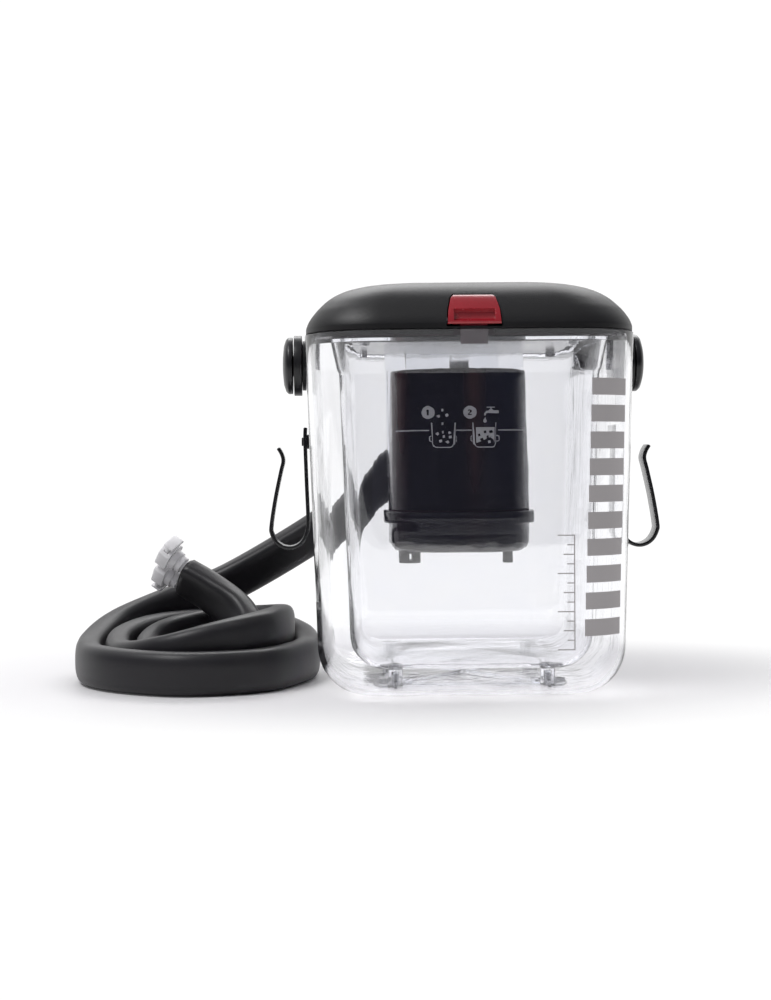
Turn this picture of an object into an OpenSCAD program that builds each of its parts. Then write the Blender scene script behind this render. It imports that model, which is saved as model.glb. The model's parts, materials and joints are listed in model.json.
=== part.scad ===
// Cold and hot water therapy machine: a clear double-walled tub with a hinged domed lid,
// a sprung front latch, a carry bail, a pump hung inside the back wall, two hose clips and
// one foam-covered twin hose that leaves through the back and lies coiled on the floor.
// The floor is z = 0, the front faces -Y, and x = 0 is the tub's middle.

/* [Tub] */
// Half width of the outer wall at its top edge
tub_hx = 88.2; // [86:0.2:90]
// Half depth of the outer wall at its top edge
tub_hy = 87; // [85:0.5:89]
// Height of the outer wall's top edge
tub_top = 194.5; // [190:0.5:198]
// Radius of the tub's upright corners, at the top
corner_r = 40; // [34:1:46]
// How much each wall leans in for 1 mm of height
draft = 0.0336; // [0.02:0.001:0.045]
// Thickness of the outer wall
wall_out = 2.6; // [2:0.1:3]
// Thickness of the inner liner
wall_in = 2.2; // [1.8:0.1:2.6]
// Distance from the outer face of the tub to the outer face of the liner
liner_inset = 17.6; // [16:0.2:19]

/* [Lid] */
// Height of the lid's crown above the floor, with the tub at its standard height
lid_crown = 224; // [222:0.5:226]
// Height of the lid's hinge axis
hinge_z = 202.5; // [202:0.1:203]
// Distance of the lid's hinge axis behind the tub's middle
hinge_y = 92; // [91.5:0.1:92.5]

/* [Handle] */
// Height of the handle's pivots
pivot_z = 181; // [179:0.5:182]
// Radius from the pivots to the middle of the cross bar
bail_r = 103.5; // [103:0.5:105]
// Angle of the folded handle above level
bail_rest = 8; // [7:0.5:9]

/* [Pump] */
// Half width of the pump housing
pump_hx = 41; // [39:0.5:42]
// Height of the top of the pump housing
pump_top = 181; // [178:0.5:181]
// Height of the joint between the pump's cover and its cup
pump_split = 97.5; // [95:0.5:100]
// Height of the underside of the cup
pump_bottom = 74; // [72:0.5:76]

/* [Hose] */
// Height of the flat-sided hose, standing on edge
hose_h = 24; // [22:0.5:24]
// Thickness of the hose
hose_t = 16; // [14:0.5:16]

/* [Hidden] */
$fn = 48;
eps = 0.01;
yc = -9.8;           // the tub's middle lies this far from the middle of the whole object's depth
lid_dz = lid_crown - 224;
motor_y = 31;
gland_x = -8;
gland_z = 146;
jack_x = 24;
jack_z = 150;

module local() translate([0, yc, 0]) children();

// ---------- ring-stack solids ----------
function rad(i) = max(corner_r - i, 5);                     // parallel inward offset of the corners
function dome_rad(i) = i < 6 ? corner_r - i : max(corner_r - 6 - 0.35 * (i - 6), 12);
// One closed ring: the tub's plan, moved in by i, at height z, with n steps per corner
function ring(i, z, r, n = 8) = let(hx = tub_hx - i, hy = tub_hy - i)
  [for (q = [0:3], k = [0:n]) let(a = 90 * q + 90 * k / n,
     cx = (q == 0 || q == 3) ? hx - r : r - hx, cy = q < 2 ? hy - r : r - hy)
     [cx + r * cos(a), cy + r * sin(a), z]];
function rings(p, n = 8) = [for (e = p) each ring(e[0], e[1], rad(e[0]), n)];
function dome_rings(p, n = 8) = [for (e = p) each ring(e[0], e[1], dome_rad(e[0]), n)];
function side_faces(k, m, wrap) = [for (j = [0:k - (wrap ? 1 : 2)], i = [0:m - 1])
  let(b = ((j + 1) % k) * m) [j * m + i, b + i, b + (i + 1) % m, j * m + (i + 1) % m]];
// A solid through rings that ends in a flat cap at each end
module capped(pts, k) { m = len(pts) / k;
  polyhedron(pts, concat([[for (i = [0:m - 1]) i]], side_faces(k, m, false), [[for (i = [m - 1:-1:0]) (k - 1) * m + i]]), convexity = 8); }
// A closed band: the last ring joins the first
module band(pts, k) { m = len(pts) / k; polyhedron(pts, side_faces(k, m, true), convexity = 8); }

// ---------- tub ----------
function lean(z) = (tub_top - z) * draft;
// Wall profile of a tub: [inset, height] from the flat bottom to the top edge
function tub_wall(i0, z0, fh, fv, ztop) = concat(
  [for (a = [90:-15:0]) [i0 + lean(z0 + fv) + fh * (1 - cos(a)), z0 + fv * (1 - sin(a))]], [[i0 + lean(ztop), ztop]]);
function reversed(p) = [for (i = [len(p) - 1:-1:0]) p[i]];

shell_profile = concat(tub_wall(0, 2, 24, 26, tub_top), reversed(tub_wall(wall_out, 4.6, 22.5, 24.5, tub_top)));
neck_z = tub_top - 20.5;
rim_z = tub_top - 3.9;      // top face of the liner's flange
liner_out = concat(tub_wall(liner_inset, 14, 19, 20, neck_z), [[13.6, rim_z - 2], [wall_out + 0.35, rim_z - 2], [wall_out + 0.35, rim_z]]);
liner_in = concat([[13.6 + wall_in, rim_z]], reversed(tub_wall(liner_inset + wall_in, 14 + wall_in, 18, 19, neck_z)));
liner_profile = concat(liner_out, liner_in);
posts = [for (x = [-41, 41], y = [-46, 46]) [x, y]];

module wall_bore(x, z, r) translate([x, 55, z]) rotate([-90, 0, 0]) cylinder(r = r, h = 40);
module side_bore(y, z, r) translate([-100, y, z]) rotate([0, 90, 0]) cylinder(r = r, h = 200);
module outer_shell() color([0.86, 0.9, 0.95, 0.35]) local() difference() {
  capped(rings(shell_profile), len(shell_profile));
  wall_bore(gland_x, gland_z, 11.6);
  wall_bore(jack_x, jack_z, 6.1);
  side_bore(0, pivot_z, 2.1);
  side_bore(0, 138, 1.3);
  for (p = posts) translate([p[0], p[1], -1]) cylinder(r = 1.6, h = 8);
}
module inner_liner() color([0.9, 0.93, 0.97, 0.35]) local() difference() {
  capped(rings(liner_profile), len(liner_profile));
  wall_bore(gland_x, gland_z, 11.6);
  wall_bore(jack_x, jack_z, 6.1);
  translate([-8.5, -90, 187]) cube([17, 12.5, 6]);
}
module base_feet() color("dimgray") local() for (x = [-46, 46], y = [-34, 34]) translate([x, y, 0]) difference() {
  cylinder(r = 7, h = 2);
  translate([0, 0, -1]) cylinder(r = 3, h = 1.8);
}
// Four finned posts that hold the liner's floor off the shell's floor, joined by low ribs in a crossed frame
module base_posts() color([0.85, 0.89, 0.94, 0.6]) local() translate([0, 0, 4.6]) difference() {
  union() {
    for (p = posts) translate([p[0], p[1], 0]) {
      cylinder(r = 4, h = 9.4);
      for (a = [0, 90]) rotate(a) translate([-9, -0.8, 0]) cube([18, 1.6, 4]);
    }
    for (y = [-46, 46]) translate([-41, y - 0.5, 0]) cube([82, 1, 1.4]);
    for (x = [-41, 41]) translate([x - 0.5, -46, 0]) cube([1, 92, 1.4]);
    for (s = [-1, 1]) rotate(s * atan2(92, 82)) translate([-61.6, -0.5, 0]) cube([123.2, 1, 1.4]);
  }
  for (p = posts) translate([p[0], p[1], -1]) cylinder(r = 1.4, h = 9);
}
module base_screws() color("silver") local() for (p = posts) translate([p[0], p[1], 2.2]) {
  cylinder(r = 1.4, h = 9.5);
}

// ---------- lid ----------
dome_out = [[0.7, 195], [0.8, 198], [2.2, 201.5], [5, 205.5], [8.5, 209.5], [12.5, 213.3], [17.5, 216.6], [24, 219.4], [34, 221.8], [50, 223.4], [70, 224]];
dome_in = [[5.4, 198.6], [8, 204], [11.6, 208.6], [16, 212.3], [21, 215], [28, 217.6], [38, 219.5], [60, 221.2]];
lid_profile = concat(reversed(dome_in), [[5.4, 191.8], [3.3, 191.8], [3.3, 195]], dome_out);
lid_shift = tub_top - 194.5 + lid_dz;
lid_posts = [for (x = [-56, 56], y = [-50, 50]) [x, y]];
latch_y = -79.5;
latch_z = 199.6;
// The latch's outline seen from the front, grown by g
module latch_outline(g, y0, y1) translate([0, y1, 0]) rotate([90, 0, 0]) linear_extrude(y1 - y0)
  polygon([[-13.9 - g, 196.8 - g], [13.9 + g, 196.8 - g], [13.2 + g, 205], [11.6 + g, 211.6], [10 + g, 213.2 + g], [-10 - g, 213.2 + g], [-11.6 - g, 211.6], [-13.2 - g, 205]]);
module lid_cover() color([0.1, 0.1, 0.11]) local() difference() {
  translate([0, 0, lid_shift]) difference() {
    union() {
      capped(dome_rings(lid_profile), len(lid_profile));
      for (x = [-18.2, 14.8]) translate([x, latch_y - 3.6, latch_z - 3]) cube([3.4, 7, 7]);
      for (p = lid_posts) translate([p[0], p[1], 190.6]) cylinder(r = 3, h = 27.6);
    }
    latch_outline(0.6, -100, -70);
    translate([-14.4, -100, 195.85]) cube([28.8, 30, 2]);
    translate([-20, latch_y, latch_z]) rotate([0, 90, 0]) cylinder(r = 1.45, h = 40);
    translate([-11, -90, 190]) cube([22, 12, 5.05]);
    translate([-8.5, -84.2, 190]) cube([17, 6, 8]);
    for (p = lid_posts) translate([p[0], p[1], 189]) cylinder(r = 1.25, h = 14);
  }
  translate([-11.8, 81.5, hinge_z + 0.8]) cube([23.6, 6, 2.8]);
}
pan_profile = [[28, 188.6], [25, 188.9], [23.4, 189.9], [22, 194.2], [6, 194.2], [6, 196.2], [24.2, 196.2], [25.4, 191.4], [28, 190.6]];
module lid_pan() color([0.07, 0.07, 0.08]) local() translate([0, 0, lid_shift]) difference() {
  capped(rings(pan_profile), len(pan_profile));
  translate([-11, -90, 190]) cube([22, 12.5, 10]);
  for (p = lid_posts) translate([p[0], p[1], 183]) cylinder(r = 1.6, h = 16);
}
module lid_gasket() color([0.2, 0.17, 0.22]) local() translate([0, 0, lid_shift])
  band(rings([[8.7, 191], [8.7, 194.2], [12.7, 194.2], [12.7, 191]]), 4);
module lid_screws() color("silver") local() translate([0, 0, lid_shift]) for (p = lid_posts) translate([p[0], p[1], 0]) difference() {
  union() {
    translate([0, 0, 187]) cylinder(r = 2.6, h = 1.6);
    translate([0, 0, 187.5]) cylinder(r = 1.25, h = 14.5);
  }
  translate([-1.6, -0.4, 186.4]) cube([3.2, 0.8, 1.4]);
}
module hinge_leaf_lid() color([0.1, 0.1, 0.11]) local() difference() {
  union() {
    translate([-11.8, hinge_y, hinge_z]) rotate([0, 90, 0]) cylinder(r = 3.6, h = 23.6);
    translate([-11.8, 81.5, hinge_z + 0.8]) cube([23.6, hinge_y - 81.5, 2.8]);
  }
  translate([-30, hinge_y, hinge_z]) rotate([0, 90, 0]) cylinder(r = 1.55, h = 60);
}
module hinge_leaf_tub() color([0.86, 0.9, 0.95, 0.5]) local() difference() {
  union() {
    for (x = [-26, 12.3]) translate([x, hinge_y, hinge_z]) rotate([0, 90, 0]) cylinder(r = 3.6, h = 13.7);
    for (x = [-26, 12.3]) translate([x, 87.2, hinge_z - 9]) cube([13.7, hinge_y - 87.2 + 3.6, 9]);
    translate([-26, 87.2, 180]) cube([52, 2.6, hinge_z - 187]);
  }
  translate([-30, hinge_y, hinge_z]) rotate([0, 90, 0]) cylinder(r = 1.5, h = 60);
}
module hinge_pin() color("silver") local() translate([-25.8, hinge_y, hinge_z]) rotate([0, 90, 0]) cylinder(r = 1.5, h = 51.6);

// ---------- latch ----------
latch_profile = [[-86.9, 197.2], [-87.4, 198.2], [-86.9, 200.6], [-86, 202.8], [-84.5, 205.3], [-82.2, 208.2], [-79.8, 210.8],
  [-77.2, 212.8], [-75.8, 213.1], [-75.4, 212], [-77.6, 209.4], [-79.2, 206.8], [-79, 203.4], [-79.4, 201.6], [-79.4, 198], [-80.2, 197.2]];
scoop_profile = [[-92, 198.9], [-86.6, 198.9], [-84.4, 199.7], [-83.2, 201.4], [-82.9, 203.6], [-83.8, 205.1], [-92, 205.1]];
module latch_button() color([0.7, 0.1, 0.13]) local() translate([0, 0, lid_shift]) difference() {
  union() {
    intersection() {
      translate([-15, 0, 0]) rotate([90, 0, 90]) linear_extrude(30) polygon(latch_profile);
      latch_outline(0, -100, -70);
    }
    translate([-13, latch_y, latch_z]) rotate([0, 90, 0]) cylinder(r = 2.4, h = 26);
    translate([-7, -82.6, 186.8]) cube([14, 1.6, 12.8]);
  }
  translate([-20, latch_y, latch_z]) rotate([0, 90, 0]) cylinder(r = 1.5, h = 40);
  translate([-3.2, latch_y - 2.2, latch_z - 3]) cube([6.4, 6, 5.2]);
  translate([-10.6, 0, 0]) rotate([90, 0, 90]) linear_extrude(21.2) polygon(scoop_profile);
}
module latch_pin() color("silver") local() translate([-17.8, latch_y, latch_z + lid_shift]) rotate([0, 90, 0]) cylinder(r = 1.45, h = 35.6);
module latch_spring() color("lightgray") local() translate([-2.8, latch_y, latch_z + lid_shift]) rotate([0, 90, 0])
  rotate_extrude() polygon(concat([[1.5, 0]], [for (i = [0:6]) each [[2, i * 0.8 + 0.1], [2, i * 0.8 + 0.5], [1.75, i * 0.8 + 0.7]]], [[1.5, 5.6]]));

// ---------- carry handle ----------
stop_sweep = 2 * (90 - bail_rest);
module bail_frame() local() translate([0, 0, pivot_z]) rotate([bail_rest, 0, 0]) children();
module bail_disc(s) difference() {
  translate([s > 0 ? 90.6 : -95, 0, 0]) rotate([0, 90, 0]) cylinder(r = 17, h = 4.4);
  translate([s > 0 ? 90 : -96, 0, 0]) rotate([0, 90, 0]) {
    cylinder(r = 6.05, h = 6);
    rotate([0, 0, 90 - (90 - bail_rest)]) rotate_extrude(angle = stop_sweep) translate([9.6, 0]) square([2.8, 6]);
    for (a = [bail_rest, 180 - bail_rest]) rotate(a) translate([11, 0, 0]) cylinder(r = 1.4, h = 6);
  }
}
module handle_bail() color([0.09, 0.09, 0.1]) bail_frame() {
  for (s = [-1, 1]) {
    bail_disc(s);
    translate([s > 0 ? 90.6 : -95, 15.5, -4.8]) cube([4.4, bail_r - 25 - 15.5, 9.6]);
  }
  translate([67.8, bail_r - 25, -4.8]) rotate_extrude(angle = 90) translate([22.8, 0]) square([4.4, 9.6]);
  translate([-67.8, bail_r - 25, -4.8]) rotate(90) rotate_extrude(angle = 90) translate([22.8, 0]) square([4.4, 9.6]);
  translate([-67.8, bail_r - 2.2, -4.8]) cube([135.6, 4.4, 9.6]);
}
module handle_grip() color([0.13, 0.13, 0.14]) bail_frame() difference() {
  union() {
    for (z = [-1.7, 1.7]) translate([-52, bail_r, z]) rotate([0, 90, 0]) cylinder(r = 4.3, h = 104);
    translate([-52, bail_r - 4.3, -1.7]) cube([104, 8.6, 3.4]);
  }
  translate([-53, bail_r - 2.2, -4.8]) cube([106, 4.4, 9.6]);
}
module pivot_bushings() color([0.2, 0.2, 0.22]) local() for (s = [0, 1]) mirror([s, 0, 0]) translate([0, 0, pivot_z]) difference() {
  union() {
    translate([88.25, 0, 0]) rotate([0, 90, 0]) cylinder(r = 14, h = 1.95);
    translate([90, 0, 0]) rotate([0, 90, 0]) cylinder(r = 6, h = 5.8);
    translate([90, 0, 11]) rotate([0, 90, 0]) cylinder(r = 1.1, h = 4.2);
  }
  translate([80, 0, 0]) rotate([0, 90, 0]) cylinder(r = 2, h = 30);
}
module hub_cap() difference() {
  union() {
    translate([95.8, 0, pivot_z]) rotate([0, 90, 0]) cylinder(r = 16, h = 2.4);
    translate([98.2, 0, pivot_z]) rotate([0, 90, 0]) cylinder(r1 = 16, r2 = 14.6, h = 1.4);
    translate([99.6, 0, pivot_z]) rotate([0, 90, 0]) cylinder(r1 = 14.6, r2 = 11, h = 1.2);
    translate([100.8, 0, pivot_z]) rotate([0, 90, 0]) cylinder(r1 = 11, r2 = 5, h = 0.6);
  }
  translate([95, 0, pivot_z]) rotate([0, 90, 0]) cylinder(r = 4.2, h = 3.4);
}
module hub_cap_right() color([0.1, 0.1, 0.11]) local() hub_cap();
module hub_cap_left() color([0.1, 0.1, 0.11]) local() mirror([1, 0, 0]) hub_cap();
module pivot_screws() color("silver") local() for (s = [0, 1]) mirror([s, 0, 0]) translate([0, 0, pivot_z]) {
  translate([84.6, 0, 0]) rotate([0, 90, 0]) cylinder(r = 2, h = 12);
  translate([95.9, 0, 0]) rotate([0, 90, 0]) cylinder(r = 4, h = 2.2);
  translate([83, 0, 0]) rotate([0, 90, 0]) cylinder(r = 3.8, h = 1.9, $fn = 6);
}

// ---------- hose clips ----------
clip_t = 2.1;
clip_path = [[89.0, 146], [89.2, 138], [88.6, 116], [87.9, 94], [88.6, 87], [91.4, 81.4], [96, 78.6], [101, 78.6], [105.6, 81.4], [108.4, 86.4],
  [108.6, 91], [106.2, 106], [103, 121], [101.6, 127], [102.4, 131], [104.4, 134.6]];
function dir2(a, b) = (b - a) / norm(b - a);
function nrm(i) = let(n = len(clip_path), a = clip_path[max(i - 1, 0)], b = clip_path[i], c = clip_path[min(i + 1, n - 1)],
  d = (i == 0 ? dir2(b, c) : i == n - 1 ? dir2(a, b) : dir2(dir2(a, b) * -1, dir2(b, c)))) [-dir2(a, c)[1], dir2(a, c)[0]];
module clip() {
  n = len(clip_path);
  difference() {
    translate([0, 7, 0]) rotate([90, 0, 0]) linear_extrude(14)
      polygon(concat([for (i = [0:n - 1]) clip_path[i] + nrm(i) * clip_t / 2], [for (i = [n - 1:-1:0]) clip_path[i] - nrm(i) * clip_t / 2]));
    translate([80, 0, 138]) rotate([0, 90, 0]) cylinder(r = 1.35, h = 15);
  }
  difference() {
    translate([86.6, -5, 134]) cube([1.85, 10, 8]);
    translate([80, 0, 138]) rotate([0, 90, 0]) cylinder(r = 1.35, h = 15);
  }
}
module hose_clip_right() color([0.08, 0.08, 0.09]) local() clip();
module hose_clip_left() color([0.08, 0.08, 0.09]) local() mirror([1, 0, 0]) clip();
module clip_screws() color([0.1, 0.1, 0.1]) local() for (s = [0, 1]) mirror([s, 0, 0]) {
  translate([84.2, 0, 138]) rotate([0, 90, 0]) cylinder(r = 1.25, h = 6.2);
  translate([90.3, 0, 138]) rotate([0, 90, 0]) cylinder(r = 2.4, h = 0.9);
}

// ---------- pump ----------
// The housing's plan, moved in by i: round at the front, flat at the back
module pump_plan(i, h) {
  difference() {
    for (x = [-11, 11]) translate([x, 35, 0]) cylinder(r = pump_hx - 11 - i, h = h);
    translate([-60, 61.4 - i, -1]) cube([120, 20, h + 2]);
  }
  translate([-11, 35 - (pump_hx - 11 - i), 0]) cube([22, 30, h]);
  translate([i - pump_hx, 35, 0]) cube([2 * (pump_hx - i), 26.4 - i, h]);
}
module back_bore(x, z, r) translate([x, 45, z]) rotate([-90, 0, 0]) cylinder(r = r, h = 30);
module pump_cover() color([0.06, 0.06, 0.1]) local() difference() {
  translate([0, 0, pump_split + 0.6]) pump_plan(0, pump_top - pump_split - 0.6);
  translate([0, 0, pump_split - 1]) pump_plan(2.2, pump_top - pump_split - 1.2);
  back_bore(gland_x, gland_z, 11.6);
  back_bore(jack_x, jack_z, 6.1);
}
module pump_base() color([0.05, 0.05, 0.08]) local() difference() {
  union() {
    translate([0, 0, pump_bottom]) pump_plan(0.4, pump_split - pump_bottom);
    difference() {
      translate([0, 0, pump_split - 7]) pump_plan(-2.8, 7);
      translate([-60, 61.4, pump_split - 8]) cube([120, 20, 9]);
    }
  }
  translate([0, 0, pump_bottom + 2.4]) pump_plan(2.6, 40);
  translate([-29, 30, pump_bottom - 1]) cylinder(r = 5, h = 5);
}
module pump_seal() color("dimgray") local() translate([0, 0, pump_split]) difference() {
  pump_plan(0.4, 0.6);
  translate([0, 0, -1]) pump_plan(1.8, 3);
}
module pump_inlet() color([0.06, 0.06, 0.08]) local() translate([-29, 30, pump_bottom - 6.6]) difference() {
  union() {
    cylinder(r = 6.7, h = 6.6);
    cylinder(r = 4.95, h = 10);
  }
  translate([0, 0, 1.6]) cylinder(r = 3.8, h = 10);
  for (a = [0:45:315]) rotate(a) translate([3, -0.7, 1.8]) cube([6, 1.4, 3.6]);
}
module pump_foot() color([0.06, 0.06, 0.08]) local() translate([28, 30, pump_bottom - 7]) {
  cylinder(r = 2.9, h = 7);
}
// Clear bracket that hangs the pump on the liner's back wall
module pump_hanger() color([0.88, 0.92, 0.96, 0.5]) local() difference() {
  union() {
    translate([-40.5, 61.5, 78]) cube([81, 1.3, 105.5]);
    for (x = [-41.5, 40.1]) translate([x, 61.5, 118]) cube([1.4, 3, 65.5]);
    translate([-41.5, 61.5, 181.9]) cube([83, 6.9, 1.6]);
    translate([-41.5, 67.2, 181.9]) cube([83, 1.2, 8.4]);
    translate([-2, 65.6, 184]) cube([11, 1.8, 6.3]);
  }
  back_bore(gland_x, gland_z, 11.6);
  back_bore(jack_x, jack_z, 6.1);
}
module motor_can() color("silver") local() translate([0, motor_y, 106]) difference() {
  cylinder(r = 18, h = 44);
  translate([0, 0, 2]) cylinder(r = 16.4, h = 40);
  translate([0, 0, -1]) cylinder(r = 5.2, h = 50);
}
module motor_shaft() color("gainsboro") local() translate([0, motor_y, 83]) {
  cylinder(r = 2, h = 72);
  translate([0, 0, 29]) cylinder(r = 12, h = 30);
}
module bearing_part(z) local() translate([0, motor_y, z]) difference() {
  cylinder(r = 5.2, h = 2);
  translate([0, 0, -1]) cylinder(r = 2.05, h = 4);
}
module bearing_lower() color("goldenrod") bearing_part(106);
module bearing_upper() color("goldenrod") bearing_part(148);
module impeller() color("white") local() translate([0, motor_y, 82]) difference() {
  union() {
    cylinder(r = 4.5, h = 8);
    cylinder(r = 14, h = 1.4);
    for (a = [0:60:300]) rotate(a) translate([3, -0.6, 0]) cube([10.4, 1.2, 6]);
  }
  translate([0, 0, 1]) cylinder(r = 2.02, h = 8);
}
module volute() color([0.25, 0.25, 0.28]) local() difference() {
  union() {
    translate([0, motor_y, 79]) cylinder(r = 19.5, h = 15);
    for (a = [30, 150, 270]) translate([15 * cos(a), motor_y + 15 * sin(a), 94]) cylinder(r = 2, h = 12);
    for (a = [90, 210, 330]) translate([13 * cos(a), motor_y + 13 * sin(a), 76.4]) cylinder(r = 2, h = 2.6);
    translate([-11.6, motor_y + 10, 86]) rotate([-90, 0, 0]) cylinder(r = 3, h = 7.8);
  }
  translate([0, motor_y, 80.4]) cylinder(r = 16.5, h = 12);
  translate([0, motor_y, 78]) cylinder(r = 5, h = 4);
  translate([0, motor_y, 90]) cylinder(r = 2.6, h = 5);
  translate([-11.6, motor_y + 6, 86]) rotate([-90, 0, 0]) cylinder(r = 1.9, h = 12.8);
}
module circuit_board() color("darkgreen") local() {
  translate([-24, 24, 160]) cube([52, 1.6, 16]);
  for (x = [-12, 8]) translate([x, 24, 150]) cube([4, 1.6, 10]);
  translate([6, 25.6, 163]) cube([10, 4, 8]);
}
module tube_run(x, z0, r, closed = false) difference() {
  union() {
    translate([x, 52, z0]) cylinder(r = r, h = gland_z - z0);
    translate([x, 52, gland_z]) sphere(r = r);
    translate([x, 52, gland_z]) rotate([-90, 0, 0]) cylinder(r = r, h = 34);
  }
  translate([x, 52, closed ? z0 + 1 : z0 - 1]) cylinder(r = r - 1, h = gland_z - z0 + 1 - (closed ? 2 : 0));
  translate([x, 52, gland_z]) rotate([-90, 0, 0]) cylinder(r = r - 1, h = 35);
}
module supply_tube() color([0.8, 0.84, 0.88]) local() difference() {
  tube_run(-11.6, 82, 3.2, true);
  translate([-11.6, 46, 86]) rotate([-90, 0, 0]) cylinder(r = 1.9, h = 6);
}
module return_tube() color([0.8, 0.84, 0.88]) local() tube_run(-4.4, 98, 3.2);
module pump_leads() color("firebrick") local() {
  for (x = [jack_x - 1.6, jack_x + 1.6]) {
    translate([x, 25.6, 168]) rotate([-90, 0, 0]) cylinder(r = 0.7, h = 29.7);
    translate([x, 55.3, 152]) cylinder(r = 0.7, h = 16);
    translate([x, 55.3, 168]) sphere(r = 0.7);
  }
}

// ---------- back fittings ----------
module hose_gland() color([0.1, 0.1, 0.11]) local() translate([gland_x, 0, gland_z]) rotate([-90, 0, 0]) difference() {
  union() {
    translate([0, 0, 58]) cylinder(r = 11.5, h = 29);
    translate([0, 0, 85.9]) cylinder(r = 15, h = 3.1);
  }
  translate([0, 0, 50]) cylinder(r = 8.5, h = 50);
}
module gland_nut() color([0.12, 0.12, 0.13]) local() translate([gland_x, 0, gland_z]) rotate([-90, 0, 0]) difference() {
  translate([0, 0, 55.2]) cylinder(r = 14, h = 3.6, $fn = 6);
  translate([0, 0, 50]) cylinder(r = 11.55, h = 20);
}
// The elbow turns the hose to the left and down; its oval mouth meets the hose's first ring
elbow_y = 98;
elbow_out = [-14, 0, -12];
elbow_len = norm(elbow_out);
module elbow_dir() translate([0, elbow_y, 0]) rotate([0, 180 + atan2(14, 12), 0]) children();
module hose_elbow() color([0.1, 0.1, 0.11]) local() translate([gland_x, 0, gland_z]) difference() {
  union() {
    translate([0, 89, 0]) rotate([-90, 0, 0]) cylinder(r = 12.4, h = 16.4);
    translate([0, 105.4, 0]) rotate([-90, 0, 0]) cylinder(r1 = 12.4, r2 = 11.2, h = 1.2);
    elbow_dir() for (x = [-3.9, 3.9]) translate([x, 0, 0]) cylinder(r = 8.8, h = elbow_len);
    elbow_dir() translate([-3.9, -8.8, 0]) cube([7.8, 17.6, elbow_len]);
  }
  translate([0, 88, 0]) rotate([-90, 0, 0]) cylinder(r = 8.5, h = 15);
  elbow_dir() cylinder(r = 7, h = elbow_len + 1);
}
module power_inlet() color([0.08, 0.08, 0.09]) local() translate([jack_x, 0, jack_z]) rotate([-90, 0, 0]) difference() {
  union() {
    translate([0, 0, 56]) cylinder(r = 6, h = 31);
    translate([0, 0, 85.8]) cylinder(r = 8.5, h = 3.2);
    translate([0, 0, 88]) cylinder(r = 6.8, h = 8.6);
  }
  translate([0, 0, 86.6]) cylinder(r = 2.8, h = 11);
}
module inlet_nut() color("silver") local() translate([jack_x, 0, jack_z]) rotate([-90, 0, 0]) difference() {
  translate([0, 0, 79.7]) cylinder(r = 8, h = 2.8, $fn = 6);
  translate([0, 0, 70]) cylinder(r = 6.05, h = 20);
}

// ---------- hose ----------
// Route points on the hose's middle line, with the twist of its section in degrees, from the elbow to the free end
route = [[-22, 98, 134, 0], [-36, 98, 122, 12], [-60, 102, 100, 25], [-90, 108, 79, 28], [-139, 113, 51, 15], [-175, 109, 37, 5],
  [-205, 88, 25, 0], [-217, 54, 16, 0], [-215, 18, 12, 0], [-202, -10, 12, 0], [-178, -30, 12, 0], [-150, -38, 12, 0],
  [-114, -24, 12, 0], [-95, 12, 12, 0], [-90, 45, 12, 0], [-94, 74, 16, 0], [-112, 94, 21, 0], [-140, 99, 24, 0],
  [-168, 91, 23, 0], [-188, 74, 21, 0], [-200, 50, 17, 0], [-198, 20, 13, 0], [-184, -4, 15, 0], [-164, -18, 20, 0],
  [-140, -17, 26, 0], [-117, -2, 30, 0], [-106, 25, 31, 0], [-106, 50, 30, 0], [-116, 70, 28, 0], [-137, 79, 26, 0],
  [-158, 73, 24, 0], [-176, 57, 20, 0], [-183, 36, 14, 0], [-176, 14, 12, 0], [-158, 3, 12, 0], [-138, 6, 12, 0],
  [-125, 19, 15, 0], [-123, 34, 24, 0], [-131, 48, 36, 0], [-147, 58, 48, 20], [-163, 64, 57.6, 30]];
hn = len(route);
function knot(i) = i < 0 ? 2 * route[0] - route[1] : i >= hn ? 2 * route[hn - 1] - route[hn - 2] : route[i];
function spline(i, t) = let(a = knot(i - 1), b = knot(i), c = knot(i + 1), d = knot(i + 2))
  0.5 * (2 * b + (c - a) * t + (2 * a - 5 * b + 4 * c - d) * t * t + (3 * b - 3 * c + d - a) * t * t * t);
line = concat([for (i = [0:hn - 2], t = [0, 0.5]) spline(i, t)], [route[hn - 1]]);
function v3(p) = [p[0], p[1], p[2]];
function tangent(i) = let(n = len(line), d = v3(line[min(i + 1, n - 1)]) - v3(line[max(i - 1, 0)])) d / norm(d);
function hose_ring(i, m = 16) = let(t = tangent(i), s0 = [t[1], -t[0], 0] / norm([t[0], t[1]]), u0 = cross(s0, t), w = line[i][3],
  s = s0 * cos(w) + u0 * sin(w), u = u0 * cos(w) - s0 * sin(w))
  [for (j = [0:m - 1]) let(a = 360 * (j + 0.5) / m, k = pow(pow(abs(cos(a)), 3.4) + pow(abs(sin(a)), 3.4), -1 / 3.4))
    v3(line[i]) + s * hose_t / 2 * k * cos(a) + u * hose_h / 2 * k * sin(a)];
module hose() color([0.11, 0.11, 0.12]) local()
  capped([for (i = [0:len(line) - 1]) each hose_ring(i)], len(line));

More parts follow.
